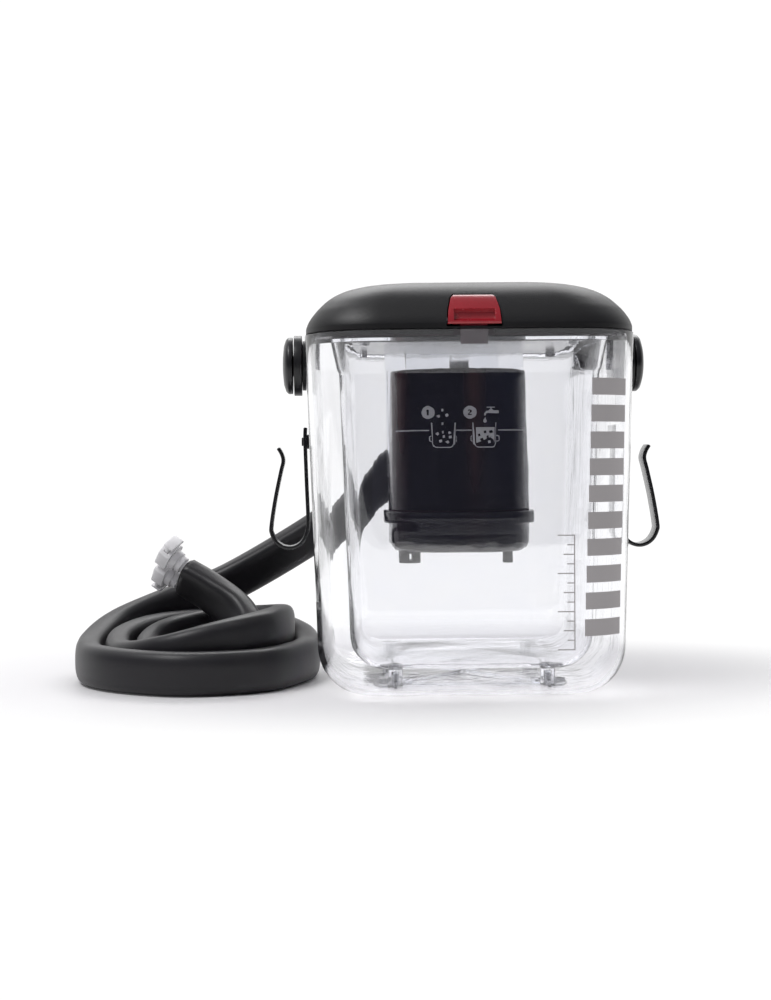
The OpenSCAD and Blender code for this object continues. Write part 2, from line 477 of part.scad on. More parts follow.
// Frame at the free end: +Z runs out of the hose, +Y is the hose's broad direction
end_t = tangent(len(line) - 1);
end_s0 = [end_t[1], -end_t[0], 0] / norm([end_t[0], end_t[1]]);
end_u0 = cross(end_s0, end_t);
end_w = route[hn - 1][3];
end_u = end_u0 * cos(end_w) - end_s0 * sin(end_w);
end_s = end_s0 * cos(end_w) + end_u0 * sin(end_w);
module end_frame() multmatrix([[end_s[0], end_u[0], end_t[0], route[hn - 1][0]], [end_s[1], end_u[1], end_t[1], route[hn - 1][1]],
  [end_s[2], end_u[2], end_t[2], route[hn - 1][2]], [0, 0, 0, 1]]) mirror([1, 0, 0]) children();
module hose_end_cap() color([0.08, 0.08, 0.09]) local() end_frame() difference() {
  union() {
    for (y = [-4, 4]) translate([0, y, 0]) cylinder(r = 7.6, h = 1.2);
    translate([-7.6, -4, 0]) cube([15.2, 8, 1.2]);
  }
  for (y = [-6.4, 6.4]) translate([0, y, -1]) cylinder(r = 4.4, h = 4);
}
// Quick couplings: +Y is outwards, where the thumb tab is
module coupling_body() difference() {
  union() {
    translate([0, 0, -1.4]) cylinder(r = 4, h = 5.4);
    translate([0, 0, 1.4]) cylinder(r = 5.2, h = 6);
    translate([0, 0, 5]) cylinder(r = 6.2, h = 5.2);
    translate([0, 0, 9]) intersection() {
      translate([-7.6, -6.2, 0]) cube([15.2, 14, 7.6]);
      cylinder(r = 8.8, h = 9);
    }
  }
  translate([0, 0, 3.6]) cylinder(r = 4, h = 20);
  translate([0, 0, -3]) cylinder(r = 2, h = 22);
  translate([-6.3, -5, 11.4]) cube([12.6, 20, 3.2]);
  translate([0, 0, 5.4]) rotate_extrude() translate([3.5, 0]) square([1.5, 1.6]);
}
module coupling_tab() {
  difference() {
    translate([-6, -3.2, 11.7]) cube([12, 13.2, 2.6]);
    translate([0, 0, 8]) cylinder(r = 4.5, h = 10);
    translate([-4.5, -3.5, 11]) cube([9, 3.5, 4]);
  }
  intersection() {
    translate([-6, 9.6, 9.4]) cube([12, 2.4, 6.8]);
    translate([0, 0, 9]) cylinder(r = 12.6, h = 9);
  }
}
module coupling_place(k) local() end_frame() translate([0, (k == 1 ? 1 : -1) * 6.4, 0]) rotate(k == 1 ? 0 : 180)
  rotate([k == 1 ? -9 : 3, 0, 0]) children();
module coupling_body_1() color([0.93, 0.93, 0.93]) coupling_place(1) translate([0, 0, 2.2]) coupling_body();
module coupling_body_2() color([0.93, 0.93, 0.93]) coupling_place(2) translate([0, 0, 2.2]) coupling_body();
module thumb_tab_1() color([0.9, 0.9, 0.9]) coupling_place(1) translate([0, 0, 2.2]) coupling_tab();
module thumb_tab_2() color([0.9, 0.9, 0.9]) coupling_place(2) translate([0, 0, 2.2]) coupling_tab();
module coupling_seals() color("gray") for (k = [1, 2]) coupling_place(k) translate([0, 0, 7.7]) difference() {
  cylinder(r = 4.95, h = 1.4);
  translate([0, 0, -1]) cylinder(r = 4.2, h = 4);
}

outer_shell();
inner_liner();
base_feet();
base_posts();
base_screws();
lid_cover();
lid_pan();
lid_gasket();
lid_screws();
hinge_leaf_lid();
hinge_leaf_tub();
hinge_pin();
latch_button();
latch_pin();
latch_spring();
handle_bail();
handle_grip();
pivot_bushings();
hub_cap_left();
hub_cap_right();
pivot_screws();
hose_clip_left();
hose_clip_right();
clip_screws();
pump_cover();
pump_base();
pump_seal();
pump_hanger();
pump_inlet();
pump_foot();
motor_can();
motor_shaft();
bearing_upper();
bearing_lower();
impeller();
volute();
circuit_board();
supply_tube();
return_tube();
pump_leads();
hose_gland();
gland_nut();
hose_elbow();
power_inlet();
inlet_nut();
hose();
hose_end_cap();
coupling_body_1();
coupling_body_2();
thumb_tab_1();
thumb_tab_2();
coupling_seals();
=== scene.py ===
import json
import math
import bpy
import bmesh
from mathutils import Matrix, Vector

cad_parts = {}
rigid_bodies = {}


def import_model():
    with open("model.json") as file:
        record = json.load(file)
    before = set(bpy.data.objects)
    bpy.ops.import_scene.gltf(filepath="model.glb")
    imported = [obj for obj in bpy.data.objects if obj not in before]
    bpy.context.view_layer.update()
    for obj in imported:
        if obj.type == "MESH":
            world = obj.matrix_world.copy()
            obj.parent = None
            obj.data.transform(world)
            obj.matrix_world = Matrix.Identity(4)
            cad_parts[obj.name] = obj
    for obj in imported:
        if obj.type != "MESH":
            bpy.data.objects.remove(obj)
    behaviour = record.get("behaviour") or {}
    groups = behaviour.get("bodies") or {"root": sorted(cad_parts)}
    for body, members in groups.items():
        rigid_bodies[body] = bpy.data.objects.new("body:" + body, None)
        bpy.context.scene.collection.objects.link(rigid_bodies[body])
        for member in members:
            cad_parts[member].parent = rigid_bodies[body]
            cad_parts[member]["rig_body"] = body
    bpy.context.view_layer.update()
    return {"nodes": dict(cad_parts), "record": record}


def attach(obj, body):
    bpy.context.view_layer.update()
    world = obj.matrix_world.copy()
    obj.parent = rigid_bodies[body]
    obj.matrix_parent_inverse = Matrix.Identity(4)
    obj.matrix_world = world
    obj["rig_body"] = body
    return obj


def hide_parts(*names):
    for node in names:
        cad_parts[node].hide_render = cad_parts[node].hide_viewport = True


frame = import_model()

YC = -9.8                      # the tub's middle, in mm, in the row's frame
NODES = frame["nodes"]
scene = bpy.context.scene


# ------------------------------------------------------------------ camera
def make_camera():
    data = bpy.data.cameras.new("camera")
    cam = bpy.data.objects.new("camera", data)
    scene.collection.objects.link(cam)
    data.sensor_width = 36.0
    data.lens = 60.4
    data.shift_x = 0.0515
    data.shift_y = -0.0408
    data.clip_start = 0.05
    data.clip_end = 30
    cam.location = (-0.073, -0.9598, 0.128)
    cam.rotation_euler = (math.radians(90), math.radians(0.5), 0)
    scene.camera = cam
    return cam


make_camera()


# ------------------------------------------------------------------ small node helpers
def new_mat(name):
    m = bpy.data.materials.new(name)
    m.use_nodes = True
    nt = m.node_tree
    nt.nodes.clear()
    out = nt.nodes.new("ShaderNodeOutputMaterial")
    b = nt.nodes.new("ShaderNodeBsdfPrincipled")
    nt.links.new(b.outputs["BSDF"], out.inputs["Surface"])
    return m, nt, b


def coords(nt, scale=(1, 1, 1)):
    tc = nt.nodes.new("ShaderNodeTexCoord")
    mp = nt.nodes.new("ShaderNodeMapping")
    mp.inputs["Scale"].default_value = scale
    nt.links.new(tc.outputs["Object"], mp.inputs["Vector"])
    return mp.outputs["Vector"]


def noise(nt, vec, scale, detail=3.0, rough=0.5, distortion=0.0):
    n = nt.nodes.new("ShaderNodeTexNoise")
    n.inputs["Scale"].default_value = scale
    n.inputs["Detail"].default_value = detail
    n.inputs["Roughness"].default_value = rough
    n.inputs["Distortion"].default_value = distortion
    nt.links.new(vec, n.inputs["Vector"])
    return n.outputs["Fac"]


def remap(nt, fac, lo, hi, a=0.3, b=0.7):
    r = nt.nodes.new("ShaderNodeMapRange")
    r.inputs["From Min"].default_value = a
    r.inputs["From Max"].default_value = b
    r.inputs["To Min"].default_value = lo
    r.inputs["To Max"].default_value = hi
    nt.links.new(fac, r.inputs["Value"])
    return r.outputs["Result"]


def ramp(nt, fac, stops):
    r = nt.nodes.new("ShaderNodeValToRGB")
    e = r.color_ramp.elements
    while len(e) > 1:
        e.remove(e[0])
    e[0].position, e[0].color = stops[0][0], (*stops[0][1], 1)
    for pos, col in stops[1:]:
        n = e.new(pos)
        n.color = (*col, 1)
    nt.links.new(fac, r.inputs["Fac"])
    return r.outputs["Color"]


def bump(nt, b, height, strength, distance, after=None):
    n = nt.nodes.new("ShaderNodeBump")
    n.inputs["Strength"].default_value = strength
    n.inputs["Distance"].default_value = distance
    nt.links.new(height, n.inputs["Height"])
    if after is not None:
        nt.links.new(after, n.inputs["Normal"])
    nt.links.new(n.outputs["Normal"], b.inputs["Normal"])
    return n.outputs["Normal"]


def add(nt, a, b, ka=1.0, kb=1.0):
    def mul(x, k):
        n = nt.nodes.new("ShaderNodeMath"); n.operation = "MULTIPLY"
        nt.links.new(x, n.inputs[0]); n.inputs[1].default_value = k
        return n.outputs[0]
    s = nt.nodes.new("ShaderNodeMath"); s.operation = "ADD"
    nt.links.new(mul(a, ka), s.inputs[0]); nt.links.new(mul(b, kb), s.inputs[1])
    return s.outputs[0]


def plastic(name, dark, light, rough=(0.4, 0.55), grain=900, grain_strength=0.25, grain_depth=0.0002,
            spec=0.5, coat=0.0, coat_rough=0.1, blotch=18, sheen=0.0):
    """Moulded plastic: two shades in soft blotches, a fine grain in the bump and a roughness that varies."""
    m, nt, b = new_mat(name)
    v = coords(nt)
    big = noise(nt, v, blotch, 4)
    fine = noise(nt, v, grain, 2, 0.6)
    nt.links.new(ramp(nt, add(nt, big, fine, 0.75, 0.25), [(0.3, dark), (0.7, light)]), b.inputs["Base Color"])
    nt.links.new(remap(nt, add(nt, big, fine, 0.6, 0.4), rough[0], rough[1]), b.inputs["Roughness"])
    b.inputs["Specular IOR Level"].default_value = spec
    b.inputs["Coat Weight"].default_value = coat
    b.inputs["Coat Roughness"].default_value = coat_rough
    if sheen:
        b.inputs["Sheen Weight"].default_value = sheen
        b.inputs["Sheen Roughness"].default_value = 0.5
    bump(nt, b, fine, grain_strength, grain_depth)
    return m


def metal(name, dark, light, rough=(0.2, 0.35), stretch=(1, 1, 30)):
    m, nt, b = new_mat(name)
    v = coords(nt, stretch)
    n = noise(nt, v, 160, 3)
    nt.links.new(ramp(nt, n, [(0.3, dark), (0.7, light)]), b.inputs["Base Color"])
    nt.links.new(remap(nt, n, rough[0], rough[1]), b.inputs["Roughness"])
    b.inputs["Metallic"].default_value = 1.0
    bump(nt, b, n, 0.1, 0.0001)
    return m


def clear(name, tint_a, tint_b, rough=(0.0, 0.03), ior=1.49, wave=(3, 3, 1), wave_depth=0.0006, weight=1.0, spec=0.5, depth=0.0, lines=0.0):
    """Clear moulded plastic: long soft flow waves in the bump, faint haze, and a tone that builds up with thickness."""
    m, nt, b = new_mat(name)
    v = coords(nt, wave)
    slow = noise(nt, v, 14, 2, 0.4)
    haze = noise(nt, coords(nt), 60, 3)
    nt.links.new(ramp(nt, haze, [(0.3, tint_a), (0.7, tint_b)]), b.inputs["Base Color"])
    nt.links.new(remap(nt, haze, rough[0], rough[1], 0.35, 0.8), b.inputs["Roughness"])
    b.inputs["Transmission Weight"].default_value = weight
    b.inputs["IOR"].default_value = ior
    b.inputs["Specular IOR Level"].default_value = spec
    first = bump(nt, b, slow, 0.35, wave_depth)
    if lines:
        bump(nt, b, noise(nt, coords(nt, (12, 12, 0.7)), 14, 2, 0.5), 0.5, lines, after=first)
    if depth:
        vol = nt.nodes.new("ShaderNodeVolumeAbsorption")
        vol.inputs["Color"].default_value = (0.78, 0.81, 0.97, 1)
        vol.inputs["Density"].default_value = depth
        out = next(n for n in nt.nodes if n.type == "OUTPUT_MATERIAL")
        nt.links.new(vol.outputs["Volume"], out.inputs["Volume"])
    return m


def pump_material(name, dark, light, **kw):
    """Polished navy black, with two faint warm upright streaks of painted reflection added in the upper part of its
    front.
    """
    m = plastic(name, dark, light, **kw)
    nt = m.node_tree
    b = next(n for n in nt.nodes if n.type == "BSDF_PRINCIPLED")
    base = b.inputs["Base Color"].links[0].from_socket
    tc = nt.nodes.new("ShaderNodeTexCoord")
    sp = nt.nodes.new("ShaderNodeSeparateXYZ")
    nt.links.new(tc.outputs["Object"], sp.inputs["Vector"])
    # painted reflection: two warm upright streaks across the front, placed by x and added to the base colour, more
    # strongly higher up
    painted_reflection_streaks = ramp(nt, remap(nt, sp.outputs["X"], 0.0, 1.0, -0.045, 0.045),
                [(0.03, (0, 0, 0)), (0.107, (0.055, 0.018, 0.016)), (0.18, (0, 0, 0.002)), (0.50, (0, 0, 0.001)), (0.575, (0.05, 0.021, 0.017)), (0.66, (0, 0, 0.004)), (0.80, (0, 0.002, 0.008)), (1.0, (0, 0, 0))])
    mix = nt.nodes.new("ShaderNodeMix")
    mix.data_type = "RGBA"
    mix.blend_type = "ADD"
    nt.links.new(remap(nt, sp.outputs["Z"], 0.12, 1.0, 0.10, 0.172), mix.inputs["Factor"])
    nt.links.new(base, [i for i in mix.inputs if i.name == "A" and i.type == "RGBA"][0])
    nt.links.new(painted_reflection_streaks, [i for i in mix.inputs if i.name == "B" and i.type == "RGBA"][0])
    nt.links.new([o for o in mix.outputs if o.type == "RGBA"][0], b.inputs["Base Color"])
    return m


M = {}
M["clear_shell"] = clear("clear_shell", (0.990, 0.991, 0.999), (0.997, 0.997, 1.0), spec=0.36, depth=9, lines=0.00010)
M["clear_liner"] = clear("clear_liner", (0.988, 0.989, 0.999), (0.996, 0.996, 1.0), spec=0.2, depth=9, lines=0.00010)
M["clear_parts"] = clear("clear_parts", (0.9, 0.91, 0.94), (0.96, 0.965, 0.98), rough=(0.04, 0.12))
M["tube_clear"] = clear("tube_clear", (0.85, 0.88, 0.9), (0.93, 0.95, 0.96), rough=(0.15, 0.3))
M["lid_black"] = plastic("lid_black", (0.0035, 0.0035, 0.004), (0.007, 0.0065, 0.007), rough=(0.40, 0.50), grain=1400, grain_strength=0.6, grain_depth=0.00018, spec=0.42)
M["pan_black"] = plastic("pan_black", (0.004, 0.003, 0.004), (0.008, 0.005, 0.007), rough=(0.12, 0.2), grain=700, grain_strength=0.03, spec=0.12)
M["fitting_black"] = plastic("fitting_black", (0.004, 0.004, 0.005), (0.009, 0.009, 0.010), rough=(0.35, 0.5), grain=1100, spec=0.4)
M["handle_black"] = plastic("handle_black", (0.003, 0.003, 0.004), (0.008, 0.008, 0.009), rough=(0.25, 0.38), grain=1000, spec=0.5)
M["clip_black"] = plastic("clip_black", (0.003, 0.003, 0.0035), (0.008, 0.0075, 0.0085), rough=(0.18, 0.3), grain=900, coat=0.2)
M["black_screw"] = metal("black_screw", (0.02, 0.02, 0.02), (0.05, 0.05, 0.05), rough=(0.35, 0.5))
M["pump_gloss"] = pump_material("pump_gloss", (0.0015, 0.0015, 0.004), (0.004, 0.0035, 0.008), rough=(0.12, 0.2), grain=300, grain_strength=0.03, spec=0.36)
M["foot_rubber"] = plastic("foot_rubber", (0.05, 0.05, 0.055), (0.1, 0.1, 0.1), rough=(0.6, 0.8), grain=800)
M["seal_rubber"] = plastic("seal_rubber", (0.022, 0.011, 0.018), (0.036, 0.020, 0.030), rough=(0.6, 0.75), grain=900, grain_strength=0.05, spec=0.12)
M["grip_rubber"] = plastic("grip_rubber", (0.004, 0.004, 0.0045), (0.010, 0.010, 0.011), rough=(0.5, 0.68), grain=1300, grain_strength=0.6)
M["screw_steel"] = metal("screw_steel", (0.5, 0.5, 0.52), (0.66, 0.66, 0.68))
M["pin_steel"] = metal("pin_steel", (0.55, 0.55, 0.57), (0.72, 0.72, 0.74))
M["spring_steel"] = metal("spring_steel", (0.45, 0.46, 0.48), (0.62, 0.62, 0.64))
M["motor_steel"] = metal("motor_steel", (0.42, 0.43, 0.45), (0.6, 0.6, 0.62))
M["bearing_brass"] = metal("bearing_brass", (0.5, 0.36, 0.14), (0.68, 0.5, 0.22))
M["impeller_white"] = plastic("impeller_white", (0.7, 0.7, 0.68), (0.82, 0.82, 0.8), rough=(0.35, 0.5))
M["volute_grey"] = plastic("volute_grey", (0.06, 0.06, 0.066), (0.1, 0.1, 0.11))
M["board_green"] = plastic("board_green", (0.01, 0.08, 0.03), (0.02, 0.14, 0.05), rough=(0.2, 0.35), coat=0.4)
M["lead_red"] = plastic("lead_red", (0.4, 0.02, 0.015), (0.55, 0.03, 0.02))
M["hose_foam"] = plastic("hose_foam", (0.0045, 0.004, 0.0055), (0.0095, 0.0085, 0.0115), rough=(0.36, 0.5), grain=1600,
                         grain_strength=0.5, grain_depth=0.00012, blotch=26, spec=0.5)
M["print_grey"] = plastic("print_grey", (0.42, 0.40, 0.40), (0.48, 0.455, 0.455), rough=(0.5, 0.65), grain=1200, grain_strength=0.1, spec=0.3)
M["print_silver"] = plastic("print_silver", (0.50, 0.50, 0.52), (0.62, 0.62, 0.64), rough=(0.45, 0.6), grain=1200, grain_strength=0.1, spec=0.3)


def coupling_material(name, a, b_):
    m, nt, b = new_mat(name)
    v = coords(nt)
    n = noise(nt, v, 120, 3)
    nt.links.new(ramp(nt, n, [(0.3, a), (0.7, b_)]), b.inputs["Base Color"])
    nt.links.new(remap(nt, n, 0.3, 0.45), b.inputs["Roughness"])
    b.inputs["Subsurface Weight"].default_value = 0.35
    b.inputs["Subsurface Radius"].default_value = (1.0, 1.0, 1.0)
    b.inputs["Subsurface Scale"].default_value = 0.002
    bump(nt, b, n, 0.08, 0.0002)
    return m


M["coupling_white"] = coupling_material("coupling_white", (0.84, 0.83, 0.84), (0.92, 0.91, 0.92))
M["tab_white"] = coupling_material("tab_white", (0.86, 0.85, 0.86), (0.94, 0.93, 0.94))

def latch_material():
    """Glossy red plastic; below the lid's edge its lower tongue is painted a dark dull purple as painted shade under
    the lid.
    """
    m = plastic("latch_red", (0.30, 0.004, 0.012), (0.42, 0.009, 0.022), rough=(0.2, 0.32), grain=500, grain_strength=0.08, coat=0.25, coat_rough=0.12)
    nt = m.node_tree
    b = next(n for n in nt.nodes if n.type == "BSDF_PRINCIPLED")
    red = b.inputs["Base Color"].links[0].from_socket
    tc = nt.nodes.new("ShaderNodeTexCoord")
    sp = nt.nodes.new("ShaderNodeSeparateXYZ")
    nt.links.new(tc.outputs["Object"], sp.inputs["Vector"])
    # painted shade: below the lid's edge the latch's tongue takes a dark purple in place of its red
    up = remap(nt, sp.outputs["Z"], 0.0, 1.0, 0.1962, 0.1972)
    tongue_painted_shade = ramp(nt, noise(nt, coords(nt), 90, 3), [(0.3, (0.030, 0.014, 0.022)), (0.7, (0.045, 0.022, 0.034))])
    mix = nt.nodes.new("ShaderNodeMix")
    mix.data_type = "RGBA"
    nt.links.new(up, mix.inputs["Factor"])
    nt.links.new(tongue_painted_shade, [i for i in mix.inputs if i.name == "A" and i.type == "RGBA"][0])
    nt.links.new(red, [i for i in mix.inputs if i.name == "B" and i.type == "RGBA"][0])
    nt.links.new([o for o in mix.outputs if o.type == "RGBA"][0], b.inputs["Base Color"])
    return m


M["latch_red"] = latch_material()
SLOT_OF = {s["node"]: s["material_slot"] for s in frame["record"]["subparts"]}


def paint(obj, mat):
    obj.data.materials.clear()
    obj.data.materials.append(mat)
    for p in obj.data.polygons:
        p.material_index = 0


# every CAD node starts with its own procedural material
for node, obj in NODES.items():
    paint(obj, M[SLOT_OF[node]])


# ------------------------------------------------------------------ mesh helpers (given in mm, local to the tub's middle)
def mesh_obj(name, verts, faces, mat, body="tub", smooth=True, mm=True, shift=True):
    me = bpy.data.meshes.new(name)
    k = 0.001 if mm else 1.0
    dy = YC if shift else 0.0
    me.from_pydata([(x * k, (y + dy) * k, z * k) for x, y, z in verts], [], faces)
    me.validate()
    bm = bmesh.new(); bm.from_mesh(me)
    bmesh.ops.recalc_face_normals(bm, faces=bm.faces)
    bm.to_mesh(me); bm.free()
    ob = bpy.data.objects.new(name, me)
    scene.collection.objects.link(ob)
    if smooth:
        me.polygons.foreach_set("use_smooth", [True] * len(me.polygons))
    paint(ob, mat)
    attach(ob, body)
    return ob


def apply_modifiers(ob):
    dg = bpy.context.evaluated_depsgraph_get()
    me = bpy.data.meshes.new_from_object(ob.evaluated_get(dg))
    old = ob.data
    ob.modifiers.clear()
    ob.data = me
    bpy.data.meshes.remove(old)


def crease_normals(ob, angle=35):
    """Smooth shading with sharp edges kept at more than the angle."""
    me = ob.data
    bm = bmesh.new(); bm.from_mesh(me)
    lim = math.radians(angle)
    for e in bm.edges:
        e.smooth = not (len(e.link_faces) == 2 and e.calc_face_angle(0) > lim)
    for f in bm.faces:
        f.smooth = True
    bm.to_mesh(me); bm.free()


def refined(node, width=0.35, segments=3, angle=30, body=None, dissolve=2.0):
    """A finer copy of a CAD node: its flat faces merged, its edges rounded."""
    src = NODES[node]
    me = src.data.copy()
    me.name = node + "_fine"
    ob = bpy.data.objects.new(node + "_fine", me)
    scene.collection.objects.link(ob)
    bm = bmesh.new(); bm.from_mesh(me)
    bmesh.ops.remove_doubles(bm, verts=bm.verts, dist=2e-6)
    bmesh.ops.dissolve_limit(bm, angle_limit=math.radians(dissolve), verts=bm.verts, edges=bm.edges)
    bm.to_mesh(me); bm.free()
    me.polygons.foreach_set("use_smooth", [True] * len(me.polygons))
    mod = ob.modifiers.new("edge", "BEVEL")
    mod.width = width / 1000
    mod.segments = segments
    mod.limit_method = "ANGLE"
    mod.angle_limit = math.radians(angle)
    mod.miter_outer = "MITER_ARC"
    mod.harden_normals = False
    apply_modifiers(ob)
    crease_normals(ob, 40)
    paint(ob, M[SLOT_OF[node]])
    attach(ob, body or src["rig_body"])
    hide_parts(node)
    return ob


HX, HY, TOP, CR, DRAFT = 88.2, 87.0, 194.5, 40.0, 0.0336
NC = 16


def rad(i):
    return max(CR - i, 5)


def dome_rad(i):
    return CR - i if i < 6 else max(CR - 6 - 0.35 * (i - 6), 12)


def ring(i, z, r, n=None):
    n = n or NC
    hx, hy, out = HX - i, HY - i, []
    for q in range(4):
        cx = (hx - r) if q in (0, 3) else (r - hx)
        cy = (hy - r) if q < 2 else (r - hy)
        for k in range(n + 1):
            a = math.radians(90 * q + 90 * k / n)
            out.append((cx + r * math.cos(a), cy + r * math.sin(a), z))
        # points along the straight side that follows
        nx = (q + 1) % 4
        cx2 = (hx - r) if nx in (0, 3) else (r - hx)
        cy2 = (hy - r) if nx < 2 else (r - hy)
        a2 = math.radians(90 * nx)
        p, s = out[-1], (cx2 + r * math.cos(a2), cy2 + r * math.sin(a2), z)
        for t in (0.2, 0.4, 0.6, 0.8):
            out.append(tuple(p[j] + (s[j] - p[j]) * t for j in range(3)))
    return out


def loft(name, profile, mat, radius=rad, body="tub", caps=(True, True), wrap=False):
    rings = [ring(i, z, radius(i)) for i, z in profile]
    m = len(rings[0])
    verts = [v for r in rings for v in r]
    faces = []
    k = len(rings)
    for j in range(k if wrap else k - 1):
        a, b = j * m, ((j + 1) % k) * m
        for i in range(m):
            faces.append((a + i, a + (i + 1) % m, b + (i + 1) % m, b + i))
    if not wrap:
        if caps[0]:
            faces.append(tuple(range(m)))
        if caps[1]:
            faces.append(tuple((k - 1) * m + i for i in range(m)))
    return mesh_obj(name, verts, faces, mat, body)


def lean(z):
    return (TOP - z) * DRAFT


def tub_wall(i0, z0, fh, fv, ztop, steps=14, ups=8):
    out = []
    for k in range(steps + 1):
        a = math.radians(90 - 90 * k / steps)
        out.append((i0 + lean(z0 + fv) + fh * (1 - math.cos(a)), z0 + fv * (1 - math.sin(a))))
    for k in range(1, ups + 1):
        z = z0 + fv + (ztop - z0 - fv) * k / ups
        out.append((i0 + lean(z), z))
    return out


def cutter(name, kind, **kw):
    """A hidden helper solid for a hole; removed after use."""
    bm = bmesh.new()
    if kind == "cyl":
        bmesh.ops.create_cone(bm, cap_ends=True, segments=kw.get("seg", 48), radius1=kw["r"] / 1000, radius2=kw["r"] / 1000, depth=kw["h"] / 1000)
        mat = Matrix.Translation(Vector((kw["at"][0], kw["at"][1] + YC, kw["at"][2])) / 1000)
        if kw["axis"] == "y":
            mat = mat @ Matrix.Rotation(math.radians(90), 4, "X")
        elif kw["axis"] == "x":
            mat = mat @ Matrix.Rotation(math.radians(90), 4, "Y")
        bmesh.ops.transform(bm, matrix=mat, verts=bm.verts)
    else:
        vs = [bm.verts.new(Vector((x, y0 + YC, z)) / 1000) for y0 in (kw["y0"], kw["y1"]) for x, z in kw["poly"]]
        n = len(kw["poly"])
        bm.faces.new(vs[:n]); bm.faces.new(list(reversed(vs[n:])))
        for i in range(n):
            bm.faces.new((vs[i], vs[n + i], vs[n + (i + 1) % n], vs[(i + 1) % n]))
        bmesh.ops.recalc_face_normals(bm, faces=bm.faces)
    me = bpy.data.meshes.new(name); bm.to_mesh(me); bm.free()
    ob = bpy.data.objects.new(name, me)
    scene.collection.objects.link(ob)
    return ob


def cut(ob, cutters):
    for c in cutters:
        mod = ob.modifiers.new("cut", "BOOLEAN")
        mod.operation = "DIFFERENCE"
        mod.solver = "EXACT"
        mod.object = c
    bpy.context.view_layer.update()
    apply_modifiers(ob)
    for c in cutters:
        me = c.data
        bpy.data.objects.remove(c)
        bpy.data.meshes.remove(me)
    crease_normals(ob, 38)


# ------------------------------------------------------------------ hose (the cord comes first)
ROUTE = [[-22, 98, 134, 0], [-36, 98, 122, 12], [-60, 102, 100, 25], [-90, 108, 79, 28], [-139, 113, 51, 15], [-175, 109, 37, 5],
         [-205, 88, 25, 0], [-217, 54, 16, 0], [-215, 18, 12, 0], [-202, -10, 12, 0], [-178, -30, 12, 0], [-150, -38, 12, 0],
         [-114, -24, 12, 0], [-95, 12, 12, 0], [-90, 45, 12, 0], [-94, 74, 16, 0], [-112, 94, 21, 0], [-140, 99, 24, 0],
         [-168, 91, 23, 0], [-188, 74, 21, 0], [-200, 50, 17, 0], [-198, 20, 13, 0], [-184, -4, 15, 0], [-164, -18, 20, 0],
         [-140, -17, 26, 0], [-117, -2, 30, 0], [-106, 25, 31, 0], [-106, 50, 30, 0], [-116, 70, 28, 0], [-137, 79, 26, 0],
         [-158, 73, 24, 0], [-176, 57, 20, 0], [-183, 36, 14, 0], [-176, 14, 12, 0], [-158, 3, 12, 0], [-138, 6, 12, 0],
         [-125, 19, 15, 0], [-123, 34, 24, 0], [-131, 48, 36, 0], [-147, 58, 48, 20], [-163, 64, 57.6, 30]]


def spline_points(pts, n):
    P = [Vector(p) for p in pts]
    def knot(i):
        if i < 0:
            return 2 * P[0] - P[1]
        if i >= len(P):
            return 2 * P[-1] - P[-2]
        return P[i]
    out = []
    for i in range(len(P) - 1):
        for k in range(n):
            t = k / n
            a, b, c, d = knot(i - 1), knot(i), knot(i + 1), knot(i + 2)
            out.append(0.5 * (2 * b + (c - a) * t + (2 * a - 5 * b + 4 * c - d) * t * t + (3 * b - 3 * c + d - a) * t ** 3))
    out.append(P[-1].copy())
    return out


def hose_frame(line, i):
    p, q = line[max(i - 1, 0)].xyz, line[min(i + 1, len(line) - 1)].xyz
    t = (q - p).normalized()
    s0 = Vector((t.y, -t.x, 0)).normalized()
    u0 = s0.cross(t)
    w = math.radians(line[i].w)
    s = s0 * math.cos(w) + u0 * math.sin(w)
    u = u0 * math.cos(w) - s0 * math.sin(w)
    return line[i].xyz, s, u, t


def hose_section(m, th=8.0, hh=12.0, flat=0.35):
    """A flat-sided oval standing on edge: half thickness th, half height hh."""
    out = []
    for j in range(m):
        a = 2 * math.pi * j / m
        c, s = math.cos(a), math.sin(a)
        n = 3.4
        r = (abs(c) ** n + abs(s) ** n) ** (-1 / n)
        out.append((c * r * th, s * r * hh))
    return out


def make_hose():
    line = spline_points(ROUTE, 8)
    m = 40
    sec = hose_section(m, 7.95, 11.95)
    verts, faces, path = [], [], []
    count = len(line)
    for i in range(count):
        c, s, u, t = hose_frame(line, i)
        path.append((c.x / 1000, (c.y + YC) / 1000, c.z / 1000))
        for a, b in sec:
            # the foam's skin wanders a little along the hose
            w = 1 + 0.010 * math.sin(i * 0.21 + 1.3 * math.sin(i * 0.05)) * math.sin(3 * math.atan2(b, a) + i * 0.03)
            verts.append(tuple(c + s * a * w + u * b * w))
    for i in range(count - 1):
        for j in range(m):
            a, b = i * m, (i + 1) * m
            faces.append((a + j, a + (j + 1) % m, b + (j + 1) % m, b + j))
    # cut ends, slightly rounded over the rim and dished in the middle
    for end in (0, count - 1):
        c, s, u, t = hose_frame(line, end)
        sg = 1 if end else -1
        base = end * m
        prev = [base + j for j in range(m)]
        for k, (f, d) in enumerate([(0.985, 0.16), (0.955, 0.22), (0.9, 0.2), (0.6, -0.05), (0.2, -0.1)]):
            new = []
            for a, b in sec:
                new.append(len(verts))
                verts.append(tuple(c + s * a * f + u * b * f + t * sg * d * (1 if end else 0.1)))
            for j in range(m):
                faces.append((prev[j], prev[(j + 1) % m], new[(j + 1) % m], new[j]))
            prev = new
        faces.append(tuple(prev))
    ob = mesh_obj("hose_sleeve", verts, faces, M["hose_foam"], "tub")
    crease_normals(ob, 50)
    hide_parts("hose")
    return ob, path


hose, hose_path = make_hose()

